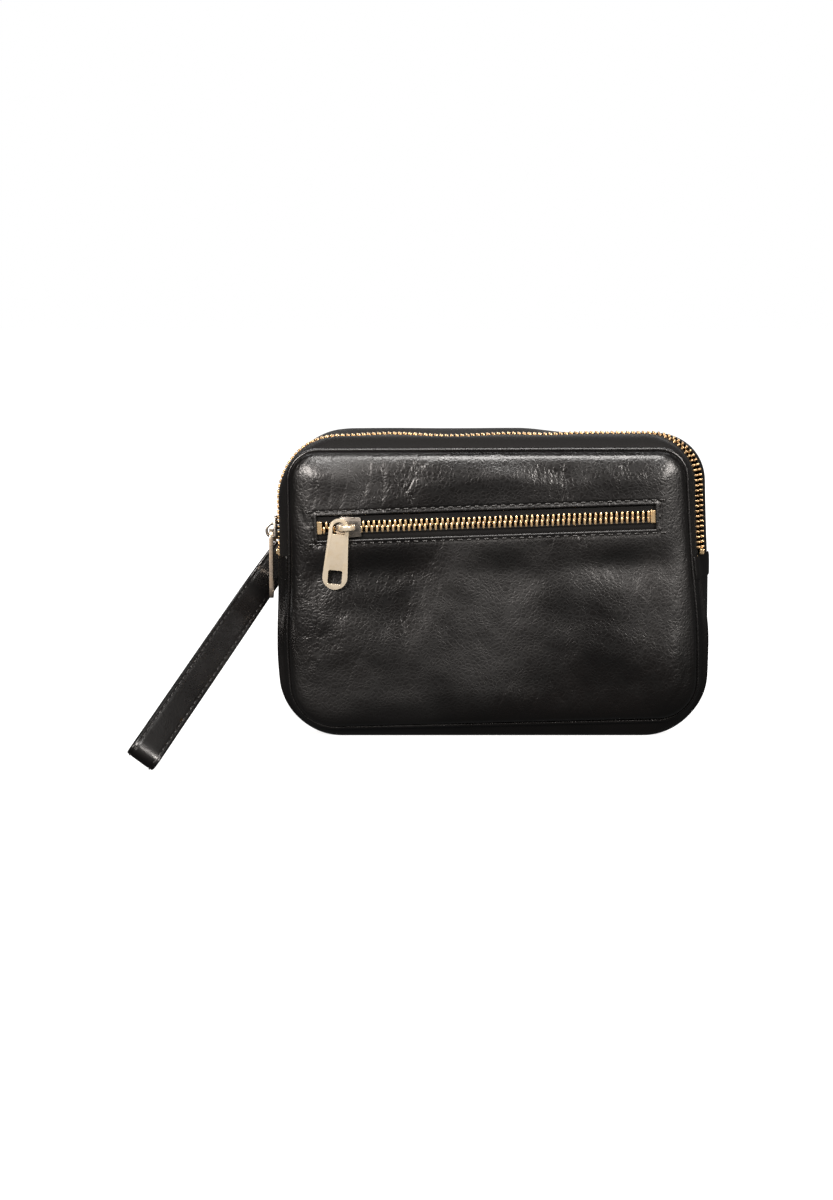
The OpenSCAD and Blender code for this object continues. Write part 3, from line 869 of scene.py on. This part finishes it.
    def back_panel(self) -> Object:
        """The back panel, closed along its middle."""
        flat = self.ring_grid(self.MIDDLE, 56, 0.3)
        inside = self.outline.inside(flat)
        rise = self.swell(inside)
        level = np.stack([flat[..., 0], np.full(flat.shape[:-1], 40.0), flat[..., 1]], axis=-1)
        rise -= smoothstep(inside, 2.0, 18.0) * self.slack * (0.5 + 0.9 * softly(level, 42.0, 5.3))
        piece = self.ring_sheet("back_leather_panel", flat, self.seam_y + np.maximum(rise, 0.0))
        merge_points(piece)
        return finish_piece(thicken(piece, self.leather), self.finishes.leather, Slot.LEATHER, Body.BAG, "back_panel")

    def wall_inward(self, s: float) -> float:
        """How far the side wall's line has narrowed at s, from -1 in front to 1 behind."""
        return max(0.0, (abs(s) - 0.5) / 0.5) ** 1.6

    def side_wall(self) -> Object:
        """The lower side wall, with a pressed fold near its front edge that fades under the base."""
        stations = np.concatenate([np.linspace(-1.0, -0.4, 22), np.linspace(-0.35, 0.4, 10),
                                   np.linspace(0.45, 1.0, 14)])
        rows = []
        for s in stations:
            line = self.outline.lower(self.wall_inward(float(s)), 300)
            fold = 0.9 * math.exp(-((s + 0.63) / 0.07) ** 2) - 0.6 * math.exp(-((s + 0.80) / 0.08) ** 2)
            height = smoothstep(line[:, 1], 3.0, 26.0)
            line = line + outward(line) * (fold * height)[:, None]
            line[:, 1] = np.maximum(line[:, 1], 0.0)
            rows.append(rail(line, s * self.seam_y))
        grid = np.array(rows)
        grid[..., 0] += 0.35 * smoothstep(grid[..., 2], 2.0, 20.0) * softly(grid, 24.0, 1.7)
        return finish_piece(thicken(loft("side_wall_leather", grid), self.wall), self.finishes.wall_leather,
                            Slot.LEATHER, Body.BAG, "lower_gusset")

    def seam_roll(self, name: str, side: int, node: str) -> Object:
        """The folded leather edge over a panel's seam."""
        line = self.outline.whole(0.93)
        out = outward(line)
        rows = []
        for turn in np.linspace(0.0, 2.0 * math.pi, 12, endpoint=False):
            ring = line + out * (0.95 * math.cos(turn))
            ring[:, 1] = np.maximum(ring[:, 1], 0.0)
            rows.append(rail(ring, side * (self.seam_y + 0.15 + 0.85 * math.sin(turn))))
        piece = loft(name, np.array(rows), rolled=True)
        faces_outward(piece)
        return finish_piece(piece, self.finishes.wall_leather, Slot.LEATHER, Body.BAG, node)

    def end_tab(self, name: str, right: bool, node: str) -> Object:
        """A stitched-down leather tab over the zip's end."""
        low, high = (2, 1) if right else (3, 0)
        heights = np.linspace(80.5, 92.6, 9)
        rows = []
        for s in np.linspace(-0.93, 0.93, 30):
            inward = self.wall_inward(float(s))
            line = np.array([self.outline.side_point(inward, low, high, float(z)) for z in heights])
            edge = 0.5 * (1.0 - np.abs(np.linspace(-1, 1, len(heights))) ** 6)
            line[:, 0] += (1 if right else -1) * (0.45 + 0.55 * edge)
            rows.append(rail(line, s * self.seam_y))
        piece = loft(name, np.array(rows), flip=right)
        return finish_piece(round_edges(thicken(piece, self.tab), 0.3), self.finishes.wall_leather, Slot.LEATHER,
                            Body.BAG, node)

    def linings(self) -> None:
        """The cloth linings, just inside the leather."""
        flat = self.ring_grid(self.MIDDLE, 20, 0.0)
        inside = self.outline.inside(flat)
        rise = 0.6 + self.puff * (1.0 - (1.0 - np.clip(inside / 24.0, 0, 1)) ** 2.0)
        piece = self.ring_sheet("back_cloth_lining", flat, self.seam_y - 1.0 + rise, drawn_in=0.965)
        merge_points(piece)
        finish_piece(thicken(piece, self.lining), self.finishes.cloth, Slot.CLOTH, Body.BAG, "back_lining")
        rows = []
        for s in np.linspace(-0.93, 0.93, 15):
            line = self.outline.lower(self.wall_inward(float(s)), 160)
            line = line - outward(line) * 1.9
            rows.append(rail(line, s * self.seam_y))
        piece = loft("side_wall_cloth_lining", np.array(rows))
        finish_piece(thicken(piece, self.lining), self.finishes.cloth, Slot.CLOTH, Body.BAG, "gusset_lining")

    def build(self) -> None:
        """Builds the whole leather body."""
        self.front_panel()
        self.back_panel()
        self.side_wall()
        for side, name in ((-1, "front"), (1, "back")):
            self.seam_roll(f"{name}_seam_roll", side, f"{name}_piping")
        for right, name in ((False, "left"), (True, "right")):
            self.end_tab(f"{name}_zip_end_tab", right, f"{name}_end_tab")
        self.linings()


@dataclass
class MainZip:
    """Tapes, teeth and stops of the zip over the top. Millimetres."""

    outline: Outline
    finishes: Finishes
    repeater: Repeater
    seam_y: float = 14.0
    pitch: float = 2.6
    chain: float = 6.4
    tooth: tuple = (1.15, 3.5, 2.3)
    tooth_round: float = 0.38
    end_gap: float = 3.8
    tape_t: float = 0.6

    def tape(self, name: str, side: int, node: str) -> Object:
        """One half of the tape, from the panel seam to the teeth, with a rounded shoulder."""
        rows = []
        for s in np.linspace(-1.0, -0.165, 26):
            line = self.outline.upper(abs(float(s)) ** 3.2, 420)
            rows.append(rail(line + outward(line) * 0.25, -side * s * self.seam_y))
        piece = loft(name, np.array(rows), flip=side > 0)
        return finish_piece(thicken(piece, self.tape_t), self.finishes.tape, Slot.TAPE, Body.BAG, node)

    def teeth(self, name: str, side: int, form: Object, node: str) -> Object:
        """One row of teeth, half a pitch on from the other row."""
        line = self.outline.upper(0.0, 1600)
        run = np.concatenate([[0.0], np.cumsum(np.linalg.norm(np.diff(line, axis=0), axis=1))])
        start = self.end_gap + (self.pitch / 2 if side > 0 else 0.0)
        line = line[(run >= start) & (run <= run[-1] - self.end_gap)]
        row_y = side * (self.chain - self.tooth[1]) / 2
        out = outward(line)
        normals = np.stack([out[:, 0], np.zeros(len(out)), out[:, 1]], axis=1)
        # The main zip's teeth take the darker copy of the brass.
        piece = self.repeater.run(name, rail(line, row_y), normals, form, self.pitch, self.finishes.aged_brass,
                                  TOOTH_UNEVENNESS, 11 if side > 0 else 12)
        return finish_piece(piece, self.finishes.aged_brass, Slot.BRASS, Body.BAG, node)

    def build(self) -> None:
        """Builds the tapes, the teeth and the stops."""
        sides = ((-1, "front"), (1, "back"))
        for side, name in sides:
            self.tape(f"{name}_zip_tape", side, f"{name}_tape")
        form = small_form("main_tooth_form", self.tooth, self.tooth_round)
        for side, name in sides:
            self.teeth(f"{name}_zip_teeth", side, form, f"{name}_teeth")
        stops = round_edges(copy_of("zip_stops", "main_zip_stops"), 0.45, 3)
        finish_piece(flatten(stops), self.finishes.brass, Slot.BRASS, Body.BAG, "zip_stops")


@dataclass
class PocketZip:
    """Pouch, tapes, teeth, stops and stitching of the front pocket. Millimetres."""

    window: Window
    body: LeatherBody
    finishes: Finishes
    repeater: Repeater
    pitch: float = 2.6
    chain: float = 6.0
    tooth: tuple = (1.1, 3.45, 2.3)
    tooth_round: float = 0.38
    tape_width: float = 11.6
    tape_t: float = 0.5
    pouch_t: float = 0.45
    stitch_pitch: float = 4.3
    stitch: tuple = (2.6, 1.05, 0.7)

    def tape(self, name: str, side: int, node: str) -> Object:
        """One tape behind the window's edge, with a folded rib along the teeth."""
        u = np.linspace(-self.window.length / 2 - 1.5, self.window.length / 2 + 1.5, 220)
        v = np.concatenate([np.linspace(2.4, 4.0, 7), np.linspace(4.4, self.tape_width, 12)])
        grid_u, grid_v = np.meshgrid(u, v)
        rib = 0.55 * np.exp(-((grid_v - 2.9) / 0.55) ** 2)
        flat = self.window.to_bag(grid_u, side * grid_v, 0.0)
        wave = 0.16 * softly(flat, 9.0, 2.0 + side) * smoothstep(grid_v, 3.2, 5.5)
        grid = self.window.to_bag(grid_u, side * grid_v, 0.25 + rib - 0.45 * smoothstep(grid_v, 5.0, 7.0) + wave)
        piece = loft(name, grid, flip=side < 0)
        return finish_piece(thicken(piece, self.tape_t), self.finishes.tape, Slot.TAPE, Body.BAG, node)

    @staticmethod
    def facing(path: Array) -> Array:
        """The direction to the front, for each point of a path."""
        return np.broadcast_to(np.array(TO_FRONT), path.shape)

    def teeth(self, name: str, side: int, form: Object, node: str) -> Object:
        """One row of the pocket's teeth."""
        reach = self.window.length / 2 - 3.6
        u = np.linspace(-reach + (self.pitch / 2 if side > 0 else 0.0), reach, 400)
        path = self.window.to_bag(u, side * (self.chain - self.tooth[1]) / 2, 0.0)
        piece = self.repeater.run(name, path, self.facing(path), form, self.pitch, self.finishes.brass,
                                  TOOTH_UNEVENNESS, 21 + side)
        return finish_piece(piece, self.finishes.brass, Slot.BRASS, Body.BAG, node)

    def stitching(self) -> Object:
        """Four rows of stitches round the window, which cross at its corners."""
        form = small_form("stitch_form", self.stitch, 0.3, 0.3)
        u, v = self.window.length / 2 + 2.0, self.window.height / 2 + 2.0
        rows = []
        for number, (start, end) in enumerate((((-u - 1.5, v), (u + 1.5, v)), ((-u - 1.5, -v), (u + 1.5, -v)),
                                               ((-u, v - 2.1), (-u, -v + 2.1)), ((u, v - 2.1), (u, -v + 2.1)))):
            t = np.linspace(0.0, 1.0, 300 if number < 2 else 30)
            flat = self.window.to_bag(start[0] + (end[0] - start[0]) * t, start[1] + (end[1] - start[1]) * t, 0.0)
            flat[:, 1] = self.body.front_y(flat[:, [0, 2]]) - 0.26
            rows.append(self.repeater.run(f"row_{number}", flat, self.facing(flat), form, self.stitch_pitch,
                                          self.finishes.thread, STITCH_UNEVENNESS, 31 + number))
        piece = joined("pocket_window_stitches", rows, self.finishes.thread)
        return finish_piece(piece, self.finishes.thread, Slot.THREAD, Body.BAG, "window_stitching")

    def pouch(self) -> Object:
        """The cloth pouch: one sleeve from the lower tape, round the bottom and the top, to the upper tape."""
        back_y, low, high, room = -14.75, 34.0, 122.0, self.window.height / 2 + 0.4
        x = np.linspace(-88.0, 79.0, 120)
        slot = self.window.middle[2] + (x - self.window.middle[0]) * math.tan(math.radians(self.window.slope))
        run = np.linspace(0.0, 1.0, 30)[:, None]
        lower = slot - room + (low - slot + room) * run
        upper = high + (slot + room - high) * run
        shut = smoothstep(np.minimum(x - x[0], x[-1] - x), 0.0, 4.0)
        rows = []
        for heights in (lower, upper):
            flat = np.stack([np.broadcast_to(x, heights.shape), heights], axis=-1)
            front = np.maximum(self.body.front_y(flat) + self.body.leather + 0.5, -20.1)
            rows.append(np.stack([flat[..., 0], back_y - 0.4 + (front - back_y + 0.4) * shut, heights], axis=-1))
        back = low + (high - low) * run + 0.0 * x
        behind = np.stack([np.broadcast_to(x, back.shape), np.full(back.shape, back_y), back], axis=-1)
        grid = np.concatenate([rows[0], behind[1:-1], rows[1]])
        return finish_piece(thicken(loft("pocket_cloth_pouch", grid, flip=True), self.pouch_t), self.finishes.cloth,
                            Slot.CLOTH, Body.BAG, "pocket_pouch")

    def build(self) -> None:
        """Builds the whole pocket."""
        self.pouch()
        sides = ((1, "upper"), (-1, "lower"))
        for side, name in sides:
            self.tape(f"pocket_zip_tape_{name}", side, f"pocket_tape_{name}")
        form = small_form("pocket_tooth_form", self.tooth, self.tooth_round)
        for side, name in sides:
            self.teeth(f"pocket_zip_teeth_{name}", side, form, f"pocket_teeth_{name}")
        stops = round_edges(copy_of("pocket_stops", "pocket_zip_stops"), 0.45, 3)
        finish_piece(flatten(stops), self.finishes.brass, Slot.BRASS, Body.BAG, "pocket_stops")
        self.stitching()


@dataclass
class Hardware:
    """Slider bodies, bails and pullers, with their edges rounded. Millimetres."""

    finishes: Finishes

    def metal(self, name: str, node: str, rounding: float, finish: Material, slot: Slot, body: Body) -> Object:
        """One metal piece made from its CAD node."""
        piece = flatten(round_edges(copy_of(node, name), rounding, 3))
        smooth_all(piece.data)
        piece.data.set_sharp_from_angle(angle=math.radians(38.0))
        return finish_piece(piece, finish, slot, body, node)

    def build(self) -> None:
        """Builds both sliders with their bails and pullers."""
        nickel, gold = self.finishes.nickel, self.finishes.gold
        self.metal("main_slider_body", "main_slider", 0.3, nickel, Slot.NICKEL, Body.MAIN_SLIDER)
        self.metal("main_slider_bail", "main_bail", 0.35, nickel, Slot.NICKEL, Body.MAIN_SLIDER)
        self.metal("main_zip_puller", "main_puller", 0.4, self.finishes.aged_gold, Slot.GOLD, Body.MAIN_PULLER)
        self.metal("pocket_slider_body", "pocket_slider", 0.3, nickel, Slot.NICKEL, Body.POCKET_SLIDER)
        self.metal("pocket_slider_bail", "pocket_bail", 0.35, gold, Slot.GOLD, Body.POCKET_SLIDER)
        self.metal("pocket_zip_puller", "pocket_puller", 0.4, gold, Slot.GOLD, Body.POCKET_PULLER)


@dataclass
class WristStrap:
    """The folded leather strap, one band from its sewn end down one leg, round the fold and back.

    Its width lies across the plane that the band bends in. Millimetres and degrees.
    """

    finishes: Finishes
    repeater: Repeater
    root: tuple = (-117.7, 17.3, 75.4)
    slope: float = 53.0
    turn: float = 51.5
    length: float = 139.0
    width: float = 15.0
    sewn: float = 21.0
    fold_out: float = 5.0
    root_out: float = 2.6
    ply: float = 2.1
    sewn_ply: float = 1.5
    stitch_in: float = 1.8
    stitch_pitch: float = 4.3

    def axes(self) -> tuple:
        """The plane's two directions and the width's direction, in the bag's frame."""
        c, s = math.cos(math.radians(self.slope)), math.sin(math.radians(self.slope))
        return np.array([-c, 0.0, -s]), np.array([0.0, -1.0, 0.0]), np.array([s, 0.0, -c])

    def path(self) -> tuple:
        """The band's middle line in its plane, with its half thickness at each point."""
        phi = math.radians(self.turn)
        along = np.array([math.cos(phi), math.sin(phi)])
        side = np.array([-math.sin(phi), math.cos(phi)])
        reach = self.length - self.fold_out
        half, sewn_half = self.ply / 2, self.sewn_ply / 2
        fold_r = self.fold_out - half
        stack = sewn_half + 0.04
        run = np.linspace(0.0, 1.0, 60)
        gap = (self.root_out - half) + (fold_r - self.root_out + half) * run
        belly = 1.1 * np.sin(np.pi * run) ** 2
        leg = along * (reach * run)[:, None]
        out_leg = leg + side * (gap + belly * 0.5)[:, None]
        back_leg = leg - side * (gap + belly)[:, None]
        angles = np.radians(np.linspace(90.0, -90.0, 26))[1:-1]
        fold = along * reach + fold_r * (np.cos(angles)[:, None] * along + np.sin(angles)[:, None] * side)
        first = np.array([[-self.sewn, stack], [-self.sewn * 0.66, stack], [-self.sewn * 0.33, stack], [-4.5, stack]])
        last = first[::-1] * np.array([1.0, -1.0])
        points = even(np.concatenate([first, out_leg[3:], fold, back_leg[::-1][:-3], last]), 330)
        for _ in range(10):
            points[1:-1] = 0.25 * points[:-2] + 0.5 * points[1:-1] + 0.25 * points[2:]
        thick = sewn_half + (half - sewn_half) * smoothstep(points[:, 0], -8.0, 8.0)
        return points, thick

    def to_bag(self, flat: Array, across: Array) -> Array:
        """Places in the strap's plane and across its width as x, y, z."""
        first, second, wide = self.axes()
        return np.array(self.root) + flat[..., :1] * first + flat[..., 1:2] * second + across[..., None] * wide

    def band(self) -> Object:
        """The leather band with rounded edges and a pressed line inside each edge."""
        points, thick = self.path()
        face = outward(points)
        half = self.width / 2
        edge = np.radians(np.linspace(90.0, -90.0, 9))
        across = np.concatenate([np.linspace(-half + 0.9, half - 0.9, 25), half - 0.9 + 0.9 * np.cos(edge[1:-1]),
                                 np.linspace(half - 0.9, -half + 0.9, 25), -half + 0.9 - 0.9 * np.cos(edge[1:-1])])
        level = np.concatenate([np.ones(25), np.sin(edge[1:-1]), -np.ones(25), -np.sin(edge[1:-1])])
        press = 1.0 - 0.20 * np.exp(-((np.abs(across) - half + self.stitch_in) / 0.6) ** 2)
        crown = 1.0 + 0.10 * (1.0 - (across / half) ** 2)
        flat = points[:, None] + face[:, None] * (thick[:, None] * level * press * crown)[..., None]
        grid = self.to_bag(flat, np.broadcast_to(across, flat.shape[:2]))
        grid = grid + (0.22 * softly(grid, 17.0, 4.4))[..., None] * (face[:, None, :1] * self.axes()[0]
                                                                    + face[:, None, 1:] * self.axes()[1])
        grid[..., 2] = np.maximum(grid[..., 2], 0.05)
        rows, columns = grid.shape[:2]
        faces = grid_faces(rows, columns, columns_closed=True, flip=True)
        faces += [tuple(range(columns)), tuple(range((rows - 1) * columns, rows * columns))[::-1]]
        piece = make_piece("wrist_strap_band", grid.reshape(-1, 3), faces, grid_lengths(grid))
        piece.data.materials.append(self.finishes.strap_leather)
        faces_outward(piece)
        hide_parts("strap_outer", "strap_inner", "strap_sewn_end")
        start = self.to_bag(np.array([[-4.5, 0.0]]), np.zeros(1))[0] * MM
        phi = math.radians(self.turn)
        end = self.to_bag(np.array([[9.0 * math.cos(phi), 9.0 * math.sin(phi)]]), np.zeros(1))[0] * MM
        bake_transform(piece)
        LOG.info("%s bends between the bag and the strap", piece.name)
        return piece

    def stitches(self) -> Object:
        """Two rows of stitches on each face of the loop."""
        form = small_form("strap_stitch_form", (2.7, 0.8, 0.6), 0.25, 0.2)
        points, thick = self.path()
        face = outward(points)
        phi = math.radians(self.turn)
        reach = points @ np.array([math.cos(phi), math.sin(phi)])
        first, second, _ = self.axes()
        middle = len(points) // 2
        rows = []
        for number in range(2):
            use = (np.arange(len(points)) < middle) if number == 0 else (np.arange(len(points)) >= middle)
            use &= (reach > 12.0) & (points[:, 0] > 3.0)
            for edge in (-1, 1):
                flat = points[use] + face[use] * (thick[use] * 0.86)[:, None]
                path = self.to_bag(flat, np.full(len(flat), edge * (self.width / 2 - self.stitch_in)))
                normals = face[use][:, :1] * first + face[use][:, 1:] * second
                rows.append(self.repeater.run(f"strap_row_{number}_{edge}", path, normals, form, self.stitch_pitch,
                                              self.finishes.thread, STITCH_UNEVENNESS,
                                              41 + number * 2 + edge))
        piece = joined("wrist_strap_stitches", rows, self.finishes.thread)
        return finish_piece(piece, self.finishes.thread, Slot.THREAD, Body.STRAP, "strap_stitching")

    def build(self) -> None:
        """Builds the strap."""
        self.band()
        self.stitches()


@dataclass
class Studio:
    """Pale floor, soft lights and the camera. Metres, watts and degrees."""

    camera_at: tuple = (-0.039, -1.2, 0.266)
    look_at: tuple = (-0.039, 0.0, 0.0685)
    lens: float = 48.0
    sensor_height: float = 24.0
    floor_size: float = 8.0
    floor_shown: float = 0.80
    floor_thrown: float = 0.06
    world_thrown: float = 0.035

    # Lights: name, place, target, width, height, power, colour
    LIGHTS = (("top", (0.0, -0.50, 1.10), (0.0, 0.0, 0.08), 0.60, 0.40, 17.0, (1.0, 0.97, 0.94)),
              ("left", (-0.72, -1.10, 0.60), (0.0, 0.0, 0.08), 0.36, 0.34, 26.0, (1.0, 0.93, 0.88)),
              ("right", (0.78, -1.05, 0.62), (0.0, 0.0, 0.08), 0.34, 0.34, 24.0, (1.0, 0.94, 0.89)),
              ("back", (0.0, 1.1, 0.9), (0.0, 0.0, 0.10), 1.2, 0.6, 14.0, (1.0, 1.0, 1.0)))

    def pale(self, name: str, shown: float, thrown: float) -> Material:
        """A pale floor finish that shows brighter than the light it throws on the bag."""
        material = new_material(name, (shown, shown, shown))
        g = Graph(material.node_tree)
        seen = g.node("ShaderNodeLightPath", None, None, "Is Camera Ray")
        away = g.node("ShaderNodeVectorMath", {"operation": "LENGTH"}, {0: g.place()}, "Value")
        tone = g.colours(g.spread(away, 0.3, 1.1), (shown, shown, shown), (1.0, 1.0, 1.0))
        lit = g.node("ShaderNodeBsdfDiffuse", None, {"Color": (0.35, 0.35, 0.35, 1.0)})
        glow = g.node("ShaderNodeEmission", None, {"Color": tone, "Strength": 1.0})
        bright = g.node("ShaderNodeAddShader", None, {0: lit, 1: glow})
        low = g.node("ShaderNodeEmission", None, {"Color": (thrown, thrown, thrown, 1.0), "Strength": 1.0})
        g.end("ShaderNodeOutputMaterial", g.node("ShaderNodeMixShader", None, {0: seen, 1: low, 2: bright}))
        return material

    def floor(self) -> Object:
        """The floor that the bag stands on."""
        line = np.linspace(-0.5, 0.5, 9) * self.floor_size / MM
        x, y = np.meshgrid(line, line)
        grid = np.stack([x, y, np.zeros_like(x)], axis=-1)
        piece = make_piece("studio_floor", grid.reshape(-1, 3), grid_faces(9, 9, flip=True))
        piece.data.materials.append(self.pale("pale_floor", self.floor_shown, self.floor_thrown))
        return piece

    def world(self) -> None:
        """White surroundings, seen bright and shining softly."""
        world = bpy.data.worlds.new("studio_world")
        bpy.context.scene.world = world
        world.use_nodes = True
        world.node_tree.nodes.clear()
        g = Graph(world.node_tree)
        seen = g.node("ShaderNodeLightPath", None, None, "Is Camera Ray")
        bright = g.node("ShaderNodeBackground", None, {"Color": (1.0, 1.0, 1.0, 1.0), "Strength": 1.0})
        low = g.node("ShaderNodeBackground", None, {"Color": (1.0, 0.98, 0.96, 1.0), "Strength": self.world_thrown})
        g.end("ShaderNodeOutputWorld", g.node("ShaderNodeMixShader", None, {0: seen, 1: low, 2: bright}))

    def light(self, name: str, place: tuple, target: tuple, width: float, height: float, power: float,
              colour: tuple) -> None:
        """One large soft light."""
        data = bpy.data.lights.new(name, "AREA")
        data.shape = "RECTANGLE"
        data.size, data.size_y = width, height
        data.energy = power
        data.color = colour
        lamp = bpy.data.objects.new(name, data)
        lamp.location = place
        lamp.rotation_euler = (Vector(target) - Vector(place)).to_track_quat("-Z", "Y").to_euler()
        bpy.context.scene.collection.objects.link(lamp)

    def camera(self) -> None:
        """The camera in front of the bag, a little above it."""
        data = bpy.data.cameras.new("camera")
        data.sensor_fit = "VERTICAL"
        data.sensor_height = self.sensor_height
        data.lens = self.lens
        data.clip_start = 0.05
        eye = bpy.data.objects.new("camera", data)
        eye.location = self.camera_at
        eye.rotation_euler = (Vector(self.look_at) - Vector(self.camera_at)).to_track_quat("-Z", "Y").to_euler()
        bpy.context.scene.collection.objects.link(eye)
        bpy.context.scene.camera = eye

    def build(self) -> None:
        """Sets up the studio."""
        bpy.context.scene.view_settings.view_transform = "Standard"
        self.floor()
        self.world()
        for light in self.LIGHTS:
            self.light(*light)
        self.camera()


@dataclass
class HiddenCloth:
    """The CAD node that keeps its own shape inside the bag."""

    finishes: Finishes
    node: str = "front_lining"

    def build(self) -> None:
        """Dresses the node in lining cloth."""
        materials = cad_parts[self.node].data.materials
        materials.clear()
        materials.append(self.finishes.cloth)
        LOG.info("%s keeps its CAD shape", self.node)


def main() -> None:
    """Builds the bag and its studio."""
    logging.basicConfig(level=logging.INFO, format="%(name)s: %(message)s")
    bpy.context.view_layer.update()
    finishes = Finishes.build()
    outline, window, repeater = Outline(), Window(), Repeater()
    body = LeatherBody(outline, window, finishes)
    for part in (body, MainZip(outline, finishes, repeater), PocketZip(window, body, finishes, repeater),
                 Hardware(finishes), WristStrap(finishes, repeater), HiddenCloth(finishes), Studio()):
        LOG.info("building %s", type(part).__name__)
        part.build()
    bpy.context.view_layer.update()


if __name__ == "__main__":
    main()
